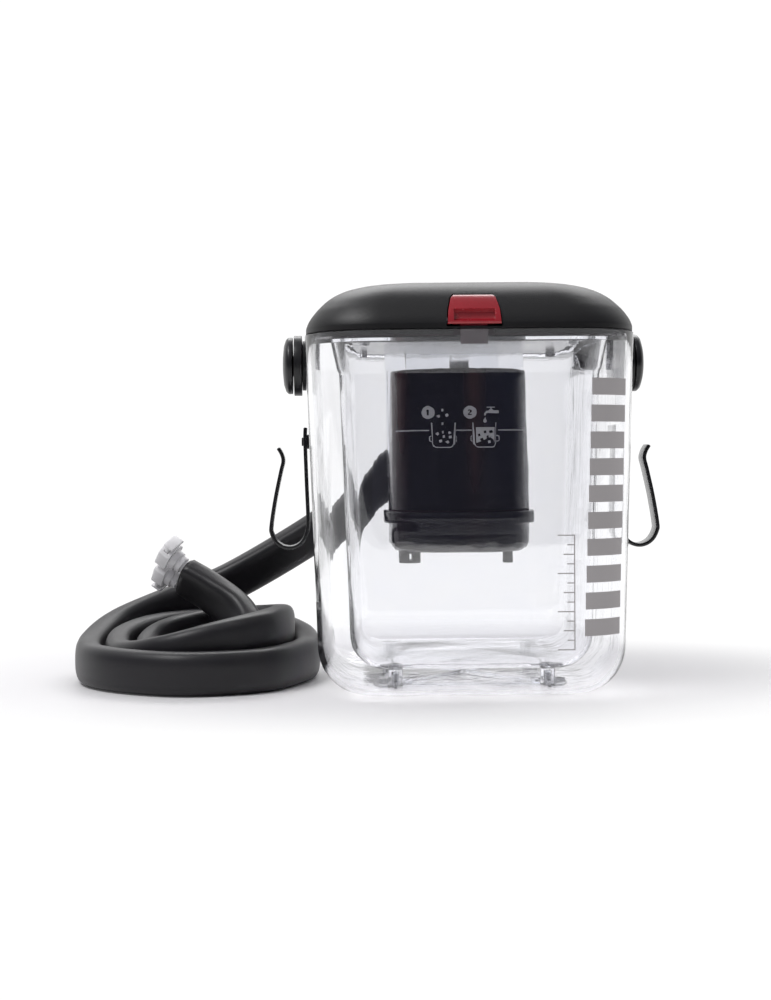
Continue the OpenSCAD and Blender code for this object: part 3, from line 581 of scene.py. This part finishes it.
# ------------------------------------------------------------------ clear shells
shell_profile = tub_wall(0, 2, 24, 26, TOP - 0.5) + [(0.12, TOP - 0.12), (0.5, TOP)] + [(2.1, TOP), (2.48, TOP - 0.12)] + \
    list(reversed(tub_wall(2.6, 4.6, 22.5, 24.5, TOP - 0.5)))
shell = loft("tub_shell", shell_profile, M["clear_shell"])
cut(shell, [cutter("c1", "cyl", r=11.6, h=16, at=(-8, 85, 146), axis="y"), cutter("c2", "cyl", r=6.1, h=16, at=(24, 85, 150), axis="y"),
            cutter("c3", "cyl", r=2.1, h=200, at=(0, 0, 181), axis="x", seg=24), cutter("c4", "cyl", r=1.3, h=200, at=(0, 0, 138), axis="x", seg=24)])
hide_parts("outer_shell")

NECK, RIM = TOP - 20.5, TOP - 3.9
liner_outer = tub_wall(17.6, 14, 19, 20, NECK - 1.5) + [(17.6 + lean(NECK) - 0.1, NECK), (17.2, NECK + 1.6), (13.9, RIM - 3.2), (13.2, RIM - 2.2), (12.2, RIM - 2.0), (3.2, RIM - 2.0), (2.95, RIM - 1.8), (2.95, RIM - 0.2), (3.15, RIM)]
liner_inner = [(15.3, RIM), (15.8, RIM - 0.25), (16.2, RIM - 1.2)] + [(19.2, NECK + 2.2), (19.8 + lean(NECK) - 0.1, NECK)] + \
    list(reversed(tub_wall(19.8, 16.2, 18, 19, NECK - 1.5)))
liner = loft("tub_liner", liner_outer + liner_inner, M["clear_liner"])
cut(liner, [cutter("c1", "cyl", r=11.6, h=16, at=(-8, 67, 146), axis="y"), cutter("c2", "cyl", r=6.1, h=16, at=(24, 67, 150), axis="y"),
            cutter("c3", "prism", poly=[(-8.5, 187), (8.5, 187), (8.5, 193), (-8.5, 193)], y0=-90, y1=-77.5)])
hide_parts("inner_liner")


# ------------------------------------------------------------------ lid
def smooth_profile(pts, n):
    """Points of a profile, rounded through by a spline, with n steps between."""
    return [(p.x, p.y) for p in spline_points([(x, y, 0, 0) for x, y in pts], n)]


dome_out = [(0.7, 195.3), (0.72, 196.4), (0.8, 198), (2.2, 201.5), (5, 205.5), (8.5, 209.5), (12.5, 213.3), (17.5, 216.6), (24, 219.4), (34, 221.8), (50, 223.4), (70, 224)]
dome_in = [(5.4, 198.6), (8, 204), (11.6, 208.6), (16, 212.3), (21, 215), (28, 217.6), (38, 219.5), (60, 221.2)]
lid_profile = list(reversed(smooth_profile(dome_in, 2))) + [(5.4, 191.9), (5.2, 191.8), (3.5, 191.8), (3.3, 192.0), (3.3, 194.9), (3.4, 195), (0.95, 195)] + smooth_profile(dome_out, 3)
lid = loft("lid_dome", lid_profile, M["lid_black"], radius=dome_rad, body="lid")


def latch_outline(g):
    return [(-13.9 - g, 196.8 - g), (13.9 + g, 196.8 - g), (13.2 + g, 205), (11.6 + g, 211.6), (10 + g, 213.2 + g), (-10 - g, 213.2 + g), (-11.6 - g, 211.6), (-13.2 - g, 205)]


cut(lid, [cutter("c1", "prism", poly=latch_outline(0.6), y0=-100, y1=-70),
          cutter("c2", "prism", poly=[(-14.4, 195.85), (14.4, 195.85), (14.4, 197.85), (-14.4, 197.85)], y0=-100, y1=-70),
          cutter("c3", "prism", poly=[(-11, 190), (11, 190), (11, 195.05), (-11, 195.05)], y0=-90, y1=-78),
          cutter("c4", "prism", poly=[(-8.5, 190), (8.5, 190), (8.5, 198), (-8.5, 198)], y0=-84.2, y1=-78.2)])
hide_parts("lid_cover")

pan_profile = [(28, 188.6), (25.8, 188.68), (24.8, 188.95), (24, 189.4), (23.3, 190.4), (22, 194.2), (6.2, 194.2), (6, 194.4), (6, 196), (6.2, 196.2), (24, 196.2), (24.4, 195.9), (25.2, 191.8), (25.9, 190.9), (28, 190.6)]
pan = loft("lid_bowl", pan_profile, M["pan_black"], body="lid")
cut(pan, [cutter("c1", "prism", poly=[(-11, 190), (11, 190), (11, 200), (-11, 200)], y0=-90, y1=-77.5)] +
    [cutter("c%d" % (2 + k), "cyl", r=1.6, h=6, at=(x, y, 189.6), axis="z", seg=24) for k, (x, y) in enumerate([(-56, -50), (56, -50), (-56, 50), (56, 50)])])
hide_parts("lid_pan")
gasket = loft("lid_seal", [(8.7, 191.5), (8.7, 194.2), (12.7, 194.2), (12.7, 191.5), (12.2, 191.0), (9.2, 191.0)], M["seal_rubber"], body="lid", wrap=True)
crease_normals(gasket, 50)
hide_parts("lid_gasket")


# ------------------------------------------------------------------ pump housing
def pump_ring(hw, z, back=61.4, cy=35.0, off=11.0, rb=2.4, n=None):
    """A plan round at the front and flat at the back: hw is the half width."""
    n = n or (20)
    r = hw - off
    out = []
    for k in range(2 * n + 1):            # right front quarter to left front quarter, through the front
        a = math.radians(0 - 180 * k / (2 * n))
        cx = off if k < n else -off
        if k == n:
            out.append((off, cy - r, z)); out.append((0, cy - r, z)); out.append((-off, cy - r, z)); continue
        out.append((cx + r * math.cos(a), cy + r * math.sin(a), z))
    for k in range(7):
        a = math.radians(180 - 90 * k / 6)
        out.append((-hw + rb + rb * math.cos(a), back - rb + rb * math.sin(a), z))
    for k in range(7):
        a = math.radians(90 - 90 * k / 6)
        out.append((hw - rb + rb * math.cos(a), back - rb + rb * math.sin(a), z))
    return out


def stack(name, rings, mat, body="tub", cap=True):
    m = len(rings[0])
    verts = [v for r in rings for v in r]
    faces = []
    for j in range(len(rings) - 1):
        for i in range(m):
            faces.append((j * m + i, j * m + (i + 1) % m, (j + 1) * m + (i + 1) % m, (j + 1) * m + i))
    if cap:
        faces.append(tuple(range(m)))
        faces.append(tuple((len(rings) - 1) * m + i for i in range(m)))
    return mesh_obj(name, verts, faces, mat, body)


def housing_hw(z):
    """Half width of the housing's wall at height z."""
    return 39.1 + (181 - z) / (181 - 98) * 1.6


cover_rings = [pump_ring(housing_hw(98.1) - 0.5, 98.1), pump_ring(housing_hw(98.5), 98.5)]
for z in [102, 110, 120, 130, 140, 150, 160, 168, 174]:
    cover_rings.append(pump_ring(housing_hw(z), z))
for k in range(1, 9):
    a = math.radians(90 * k / 8)
    cover_rings.append(pump_ring(housing_hw(176) - 5 * (1 - math.cos(a)), 176 + 5 * math.sin(a), back=61.4 - 4 * (1 - math.cos(a))))
cover = stack("pump_housing", cover_rings, M["pump_gloss"])
cut(cover, [cutter("c1", "cyl", r=11.6, h=6, at=(-8, 60.4, 146), axis="y"), cutter("c2", "cyl", r=6.1, h=6, at=(24, 60.4, 150), axis="y")])
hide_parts("pump_cover")

base_rings = []
for k in range(0, 9):
    a = math.radians(90 * k / 8)
    base_rings.append(pump_ring(40.5 - 6 * (1 - math.sin(a)), 74 + 6 * (1 - math.cos(a)), back=61 - 2 * (1 - math.sin(a))))
base_rings += [pump_ring(40.55, 84, back=61), pump_ring(40.6, 90.2, back=61), pump_ring(41.2, 90.5, back=61.2), pump_ring(43.2, 90.55, back=61.3), pump_ring(43.7, 91, back=61.3), pump_ring(43.75, 94, back=61.3),
               pump_ring(43.7, 97, back=61.3), pump_ring(43.2, 97.45, back=61.3), pump_ring(41.4, 97.5, back=61.2)]
cup = stack("pump_cup", base_rings, M["pump_gloss"])
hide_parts("pump_base")


# ------------------------------------------------------------------ finer copies of the CAD pieces that show
for n, w in {"latch_button": 0.45, "handle_bail": 0.7, "handle_grip": 0.6, "hub_cap_left": 0.5, "hub_cap_right": 0.5, "pivot_bushings": 0.3,
             "hinge_leaf_lid": 0.4, "hinge_leaf_tub": 0.4, "pump_hanger": 0.3,
             "hose_elbow": 0.6, "hose_gland": 0.5, "power_inlet": 0.4, "base_posts": 0.2, "base_feet": 0.3, "pump_inlet": 0.3, "pump_foot": 0.4,
             "coupling_body_1": 0.7, "coupling_body_2": 0.7, "thumb_tab_1": 0.8, "thumb_tab_2": 0.8, "hose_end_cap": 0.3, "clip_screws": 0.3,
             "pivot_screws": 0.2}.items():
    refined(n, w)


# ------------------------------------------------------------------ hose clips: bent spring straps with a screw pad
CLIP = [(89.0, 146), (89.2, 138), (88.6, 116), (87.9, 94), (88.6, 87), (91.4, 81.4), (96, 78.6), (101, 78.6), (105.6, 81.4), (108.4, 86.4),
        (108.6, 91), (106.2, 106), (103, 121), (101.6, 127), (102.4, 131), (104.4, 134.6)]


def rounded_rect(a, b, r, n=4):
    """A closed outline round +-a and +-b with corners of radius r."""
    out = []
    for q, (sa, sb) in enumerate([(1, 1), (-1, 1), (-1, -1), (1, -1)]):
        for k in range(n + 1):
            t = math.radians(90 * q + 90 * k / n)
            out.append((sa * (a - r) + r * math.cos(t), sb * (b - r) + r * math.sin(t)))
    return out


def make_clip(name, node, side):
    pts = smooth_profile(CLIP, 8)
    n, verts, faces = len(pts), [], []
    sec = rounded_rect(1.03, 6.98, 0.5)
    m = len(sec)
    rows = [(0, 0.55), *[(i, 1.0) for i in range(n)], (n - 1, 0.55)]
    for j, (i, f) in enumerate(rows):
        (x0, z0), (x1, z1) = pts[max(i - 1, 0)], pts[min(i + 1, n - 1)]
        l = math.hypot(x1 - x0, z1 - z0)
        tx, tz = (x1 - x0) / l, (z1 - z0) / l
        push = -0.35 if j == 0 else (0.35 if j == len(rows) - 1 else 0.0)
        g = 0.35 if j == 1 else (-0.35 if j == len(rows) - 2 else 0.0)
        x, z = pts[i][0] + tx * g, pts[i][1] + tz * g
        if j in (0, len(rows) - 1):
            x, z = pts[i]
        for a, b in sec:
            verts.append((side * (x - tz * a * f), b * (f if f == 1.0 else 0.93), z + tx * a * f))
    for j in range(len(rows) - 1):
        for k in range(m):
            faces.append((j * m + k, j * m + (k + 1) % m, (j + 1) * m + (k + 1) % m, (j + 1) * m + k))
    faces.append(tuple(range(m)))
    faces.append(tuple((len(rows) - 1) * m + k for k in range(m)))
    # the pad between the strap and the wall
    base = len(verts)
    pad = rounded_rect(5, 4, 1.0)
    for x, g in ((86.6, 0.0), (88.2, 0.0), (88.43, 0.25)):
        for a, b in pad:
            verts.append((side * x, a * (1 - g / 5), 138 + b * (1 - g / 4)))
    m2 = len(pad)
    for j in range(2):
        for k in range(m2):
            faces.append((base + j * m2 + k, base + j * m2 + (k + 1) % m2, base + (j + 1) * m2 + (k + 1) % m2, base + (j + 1) * m2 + k))
    faces.append(tuple(base + k for k in range(m2)))
    faces.append(tuple(base + 2 * m2 + k for k in range(m2)))
    ob = mesh_obj(name, verts, faces, M["clip_black"], "tub")
    crease_normals(ob, 40)
    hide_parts(node)
    return ob


make_clip("clip_strap_left", "hose_clip_left", -1)
make_clip("clip_strap_right", "hose_clip_right", 1)


# ------------------------------------------------------------------ prints
def wall_point(s, z, off=0.06):
    """A point on the tub's outer face: s is the distance round from the middle of the front, to the right."""
    i = lean(z) if z > 28 else lean(28)
    hx, hy, r = HX - i, HY - i, rad(i)
    a = hx - r
    if abs(s) <= a:
        return (s, -hy - off, z)
    f = (abs(s) - a) / r
    sg = 1 if s > 0 else -1
    return (sg * (a + (r + off) * math.sin(f)), -(hy - r) - (r + off) * math.cos(f), z)


def wall_print(name, rects, mat, step=1.2):
    verts, faces = [], []
    for s0, s1, z0, z1 in rects:
        ns = max(1, int((s1 - s0) / step)); nz = max(1, int((z1 - z0) / 6))
        b = len(verts)
        for side in (0.04, 0.10):
            for a in range(ns + 1):
                for c in range(nz + 1):
                    verts.append(wall_point(s0 + (s1 - s0) * a / ns, z0 + (z1 - z0) * c / nz, side))
        L = (ns + 1) * (nz + 1)
        idx = lambda side, a, c: b + side * L + a * (nz + 1) + c
        for a in range(ns):
            for c in range(nz):
                faces.append((idx(1, a, c), idx(1, a + 1, c), idx(1, a + 1, c + 1), idx(1, a, c + 1)))
                faces.append((idx(0, a, c), idx(0, a, c + 1), idx(0, a + 1, c + 1), idx(0, a + 1, c)))
        for a in range(ns):
            faces.append((idx(0, a, 0), idx(0, a + 1, 0), idx(1, a + 1, 0), idx(1, a, 0)))
            faces.append((idx(0, a, nz), idx(1, a, nz), idx(1, a + 1, nz), idx(0, a + 1, nz)))
        for c in range(nz):
            faces.append((idx(0, 0, c), idx(1, 0, c), idx(1, 0, c + 1), idx(0, 0, c + 1)))
            faces.append((idx(0, ns, c), idx(0, ns, c + 1), idx(1, ns, c + 1), idx(1, ns, c)))
    ob = mesh_obj(name, verts, faces, mat, "tub", smooth=False)
    return ob


bars = []
for k in range(10):
    bars.append((60.8 - 0.5 * k, 86.0 - 0.55 * k, 160.2 - 13.9 * k, 169.0 - 13.9 * k))
level_scale = wall_print("level_scale", bars, M["print_grey"])
ticks = [(50.6, 51.2, 28, 88)]
for k in range(13):
    zz = 28.3 + k * 4.95
    w = 8.5 if k % 4 == 0 else (5.5 if k % 2 == 0 else 3.5)
    ticks.append((50.6 - w, 50.6, zz - 0.3, zz + 0.3))
level_ticks = wall_print("level_ticks", ticks, M["print_grey"])


def pump_point(x, z, off):
    """A point on the front of the pump housing."""
    r = housing_hw(z) - 11
    if abs(x) <= 11:
        return (x, 35 - r - off, z)
    dx = abs(x) - 11
    sg = 1 if x > 0 else -1
    a = math.asin(min(dx / r, 0.999))
    return (sg * (11 + (r + off) * math.sin(a)), 35 - (r + off) * math.cos(a), z)


class Print:
    """Flat figures in x and z, laid on the housing's front as a thin film."""
    def __init__(self):
        self.v, self.f = [], []
    def poly(self, pts, holes=()):
        bm = bmesh.new()
        edges = []
        for loop in [pts, *holes]:
            vs = [bm.verts.new((x, z, 0)) for x, z in loop]
            edges += [bm.edges.new((vs[i], vs[(i + 1) % len(vs)])) for i in range(len(vs))]
        bmesh.ops.triangle_fill(bm, edges=edges, use_beauty=True)
        long = [e for e in bm.edges if e.calc_length() > 2.0]
        while long:
            bmesh.ops.subdivide_edges(bm, edges=long, cuts=1)
            bmesh.ops.triangulate(bm, faces=bm.faces)
            long = [e for e in bm.edges if e.calc_length() > 2.0]
        bm.verts.ensure_lookup_table(); bm.verts.index_update()
        b = len(self.v)
        n = len(bm.verts)
        for off in (0.03, 0.09):
            for w in bm.verts:
                self.v.append(pump_point(w.co.x, w.co.y, off))
        for f in bm.faces:
            idx = [w.index for w in f.verts]
            self.f.append(tuple(b + n + i for i in idx))
            self.f.append(tuple(b + i for i in reversed(idx)))
        for e in bm.edges:
            if len(e.link_faces) == 1:
                p, q = e.verts[0].index, e.verts[1].index
                self.f.append((b + p, b + q, b + n + q, b + n + p))
        bm.free()
    def rect(self, x0, z0, x1, z1):
        self.poly([(x0, z0), (x1, z0), (x1, z1), (x0, z1)])
    def line(self, pts, w):
        """A bent line of width w."""
        left, right = [], []
        for i, (x, z_) in enumerate(pts):
            a = pts[max(i - 1, 0)]; c = pts[min(i + 1, len(pts) - 1)]
            dx, dz = c[0] - a[0], c[1] - a[1]
            l = math.hypot(dx, dz) or 1
            left.append((x - dz / l * w / 2, z_ + dx / l * w / 2)); right.append((x + dz / l * w / 2, z_ - dx / l * w / 2))
        self.poly(left + right[::-1])
    def disc(self, x, z_, r, holes=()):
        self.poly([(x + r * math.cos(2 * math.pi * k / 28), z_ + r * math.sin(2 * math.pi * k / 28)) for k in range(28)], holes)
    def cube(self, x, z_, s, turn):
        a = math.radians(turn)
        self.poly([(x + s * math.cos(a + math.pi / 4 + k * math.pi / 2), z_ + s * math.sin(a + math.pi / 4 + k * math.pi / 2)) for k in range(4)])


DY = 950 + 5.5                      # distance of the housing's front from the camera's plane
def px(x, y):
    """The x and z on the housing's front that a picture position stands for."""
    return ((x - 332.6) * DY / 1678 - 73, 128 - (y - 458.6) * DY / 1678)


pr = Print()
cx1, cz1 = px(427, 412.7); cx2, cz2 = px(468.7, 412.7)


def digit_one(x, z_):
    return [(x - 0.35, z_ - 1.6), (x + 0.35, z_ - 1.6), (x + 0.35, z_ + 1.6), (x - 0.1, z_ + 1.6), (x - 0.95, z_ + 0.95), (x - 0.95, z_ + 0.45), (x - 0.35, z_ + 0.75)]


def digit_two(x, z_):
    return [(x - 1.05, z_ - 1.6), (x + 1.1, z_ - 1.6), (x + 1.1, z_ - 1.0), (x - 0.1, z_ - 1.0), (x + 0.85, z_ + 0.1), (x + 1.05, z_ + 0.75), (x + 0.75, z_ + 1.35), (x, z_ + 1.6), (x - 0.75, z_ + 1.4),
            (x - 1.05, z_ + 0.8), (x - 0.45, z_ + 0.7), (x - 0.2, z_ + 1.0), (x + 0.2, z_ + 0.95), (x + 0.4, z_ + 0.6), (x + 0.15, z_ + 0.1), (x - 1.05, z_ - 1.1)]


pr.disc(cx1, cz1, 3.7, [digit_one(cx1, cz1)])
pr.disc(cx2, cz2, 3.7, [digit_two(cx2, cz2)])
LZ = px(0, 430.6)[1]
for a, b in ((395.5, 428), (455, 470.5), (497, 525)):
    pr.rect(px(a, 0)[0], LZ - 0.3, px(b, 0)[0], LZ + 0.3)
def tub_picture(x0, x1, y_top, y_bot):
    (a, zt), (b, zb) = px(x0, y_top), px(x1, y_bot)
    w = 0.5
    pr.line([(a, zt), (a + 0.5, zb + 2.0), (a + 1.3, zb + 0.6), (a + 2.6, zb), (b - 2.6, zb), (b - 1.3, zb + 0.6), (b - 0.5, zb + 2.0), (b, zt)], w)
    for s, x in ((-1, a), (1, b)):
        pr.line([(x + s * 0.3, zb + 6.6), (x + s * 1.2, zb + 6.0), (x + s * 1.2, zb + 3.8), (x + s * 0.2, zb + 3.2)], 0.5)
tub_picture(430.5, 453.4, 423, 447.6)
tub_picture(471.8, 495.5, 423, 447.6)
for x, y, t in ((441.5, 410.5, 8), (437, 416.5, 20), (446, 415.5, 35), (441.5, 424, 4), (436, 434, 40), (441.8, 432.5, 5), (448.3, 433, 30), (443, 436.8, 12), (439, 441.3, 15), (446.5, 442.3, 40), (449, 437.3, 10)):
    x_, z_ = px(x, y)
    pr.cube(x_, z_, 1.05, t)
# the filled tub of the second picture, with cubes left dark in it
(fa, ft), (fb, fbz) = px(474.3, 427.8), px(493, 445.6)
holes = []
for x, y, t in ((478, 435.5, 15), (483.5, 432.5, 5), (489.5, 432.3, 20), (480.5, 440, 30), (486.3, 437.4, 10), (491, 438, 40), (488, 442.4, 15)):
    hx_, hz_ = px(x, y); a = math.radians(t)
    holes.append([(hx_ + 1.05 * math.cos(a + math.pi / 4 + k * math.pi / 2), hz_ + 1.05 * math.sin(a + math.pi / 4 + k * math.pi / 2)) for k in range(4)])
pr.poly([(fa, ft), (fa + 0.2, fbz + 1.2), (fa + 1.0, fbz), (fb - 1.0, fbz), (fb - 0.2, fbz + 1.2), (fb, ft)], holes)
# tap and drop
tx, tz = px(490, 412.5)
pr.poly([(tx - 4.2, tz - 2.0), (tx - 3.4, tz - 2.0), (tx - 3.2, tz - 1.0), (tx - 2.2, tz - 0.5), (tx + 0.2, tz - 0.8), (tx + 4.4, tz - 0.8), (tx + 4.4, tz + 0.9), (tx + 1.0, tz + 0.9), (tx + 0.4, tz + 1.5), (tx - 0.8, tz + 1.5),
         (tx - 1.4, tz + 0.9), (tx - 3.0, tz + 0.6), (tx - 4.1, tz - 0.6)])
pr.rect(tx - 2.6, tz + 2.4, tx + 2.2, tz + 2.95)
pr.rect(tx - 0.45, tz + 1.4, tx + 0.05, tz + 2.5)
dx_, dz_ = px(483.5, 421.5)
pr.poly([(dx_ + 1.0 * math.cos(a), dz_ + 1.0 * math.sin(a)) for a in [math.radians(d) for d in range(150, 391, 20)]] + [(dx_, dz_ + 2.3)])
print_ob = mesh_obj("fill_marks", pr.v, pr.f, M["print_silver"], "tub", smooth=False)


# ------------------------------------------------------------------ floor, world and light
def make_stage():
    me = bpy.data.meshes.new("floor")
    me.from_pydata([(-9, -0.78, -0.0002), (9, -0.78, -0.0002), (9, 12, -0.0002), (-9, 12, -0.0002)], [], [(0, 1, 2, 3)])
    ob = bpy.data.objects.new("floor", me)
    scene.collection.objects.link(ob)
    m = bpy.data.materials.new("floor_white")
    m.use_nodes = True
    nt = m.node_tree
    nt.nodes.clear()
    out = nt.nodes.new("ShaderNodeOutputMaterial")
    mix = nt.nodes.new("ShaderNodeMixShader")
    b = nt.nodes.new("ShaderNodeBsdfPrincipled")
    em = nt.nodes.new("ShaderNodeEmission")
    em.inputs["Color"].default_value = (1, 1, 1, 1)
    em.inputs["Strength"].default_value = 1.05
    n = noise(nt, coords(nt), 3, 3)
    nt.links.new(ramp(nt, n, [(0.3, (0.80, 0.79, 0.80)), (0.7, (0.82, 0.81, 0.82))]), b.inputs["Base Color"])
    b.inputs["Roughness"].default_value = 0.5
    b.inputs["Specular IOR Level"].default_value = 0.2
    # away from the object the floor glows evenly white; nearer it turns to a lit grey floor that takes the real
    # shadows, and this grey ring round the object is painted shade
    tc = nt.nodes.new("ShaderNodeTexCoord")
    mp = nt.nodes.new("ShaderNodeMapping")
    mp.inputs["Location"].default_value = (0.055, -0.06, 0)
    mp.inputs["Scale"].default_value = (1.0, 1.5, 0.0)
    nt.links.new(tc.outputs["Object"], mp.inputs["Vector"])
    ln = nt.nodes.new("ShaderNodeVectorMath"); ln.operation = "LENGTH"
    nt.links.new(mp.outputs["Vector"], ln.inputs[0])
    mr = nt.nodes.new("ShaderNodeMapRange")
    mr.interpolation_type = "SMOOTHSTEP"
    mr.inputs["From Min"].default_value = 0.14
    mr.inputs["From Max"].default_value = 0.40
    nt.links.new(ln.outputs["Value"], mr.inputs["Value"])
    nt.links.new(mr.outputs["Result"], mix.inputs["Fac"])
    nt.links.new(b.outputs["BSDF"], mix.inputs[1])
    nt.links.new(em.outputs["Emission"], mix.inputs[2])
    nt.links.new(mix.outputs["Shader"], out.inputs["Surface"])
    ob.data.materials.append(m)
    return ob


floor = make_stage()


def make_world():
    w = bpy.data.worlds.new("studio")
    scene.world = w
    w.use_nodes = True
    nt = w.node_tree
    nt.nodes.clear()
    out = nt.nodes.new("ShaderNodeOutputWorld")
    bg = nt.nodes.new("ShaderNodeBackground")
    tc = nt.nodes.new("ShaderNodeTexCoord")
    sp = nt.nodes.new("ShaderNodeSeparateXYZ")
    nt.links.new(tc.outputs["Generated"], sp.inputs["Vector"])
    # a bright wall behind the object; on the camera's side a dark room under a pale ceiling
    def part(axis, lo, hi, smooth=True):
        mr = nt.nodes.new("ShaderNodeMapRange")
        mr.interpolation_type = "SMOOTHSTEP" if smooth else "LINEAR"
        mr.inputs["From Min"].default_value = lo
        mr.inputs["From Max"].default_value = hi
        nt.links.new(sp.outputs[axis], mr.inputs["Value"])
        return mr.outputs["Result"]
    front = ramp(nt, part("Z", -0.2, 1.0, False), [(0.0, (0.045, 0.045, 0.06)), (0.30, (0.055, 0.055, 0.075)), (0.55, (0.30, 0.30, 0.33)), (1.0, (0.42, 0.42, 0.44))])
    back = ramp(nt, part("Z", -0.2, 1.0, False), [(0.0, (1.0, 1.0, 1.0)), (0.5, (1.0, 1.0, 1.0)), (1.0, (0.75, 0.75, 0.78))])
    mix = nt.nodes.new("ShaderNodeMix")
    mix.data_type = "RGBA"
    nt.links.new(part("Y", 0.0, 0.72), mix.inputs["Factor"])
    nt.links.new(front, [i for i in mix.inputs if i.name == "A" and i.type == "RGBA"][0])
    nt.links.new(back, [i for i in mix.inputs if i.name == "B" and i.type == "RGBA"][0])
    nt.links.new([o for o in mix.outputs if o.type == "RGBA"][0], bg.inputs["Color"])
    bg.inputs["Strength"].default_value = 1.05
    nt.links.new(bg.outputs["Background"], out.inputs["Surface"])


make_world()


def area(name, loc, target, size, power, color=(1, 1, 1), size_y=None):
    d = bpy.data.lights.new(name, "AREA")
    d.energy = power
    d.color = color
    d.shape = "RECTANGLE"
    d.size = size
    d.size_y = size_y or size
    o = bpy.data.objects.new(name, d)
    scene.collection.objects.link(o)
    o.location = loc
    o.rotation_euler = (Vector(target) - Vector(loc)).to_track_quat("-Z", "Y").to_euler()
    return o


area("left_softbox", (-0.66, -0.40, 1.15), (-0.03, -0.03, 0.2), 0.6, 8.5, size_y=0.45)
area("back_softbox", (0.1, 1.0, 1.1), (0, 0, 0.1), 1.2, 7, size_y=0.5)

for o in (shell, liner):
    o.visible_shadow = False
for n in ("base_posts_fine", "pump_hanger_fine", "hinge_leaf_tub_fine"):
    bpy.data.objects[n].visible_shadow = False

cyc = scene.cycles
cyc.max_bounces = 20
cyc.transmission_bounces = 16
cyc.transparent_max_bounces = 16
cyc.glossy_bounces = 6
cyc.diffuse_bounces = 4
scene.view_settings.view_transform = "Standard"
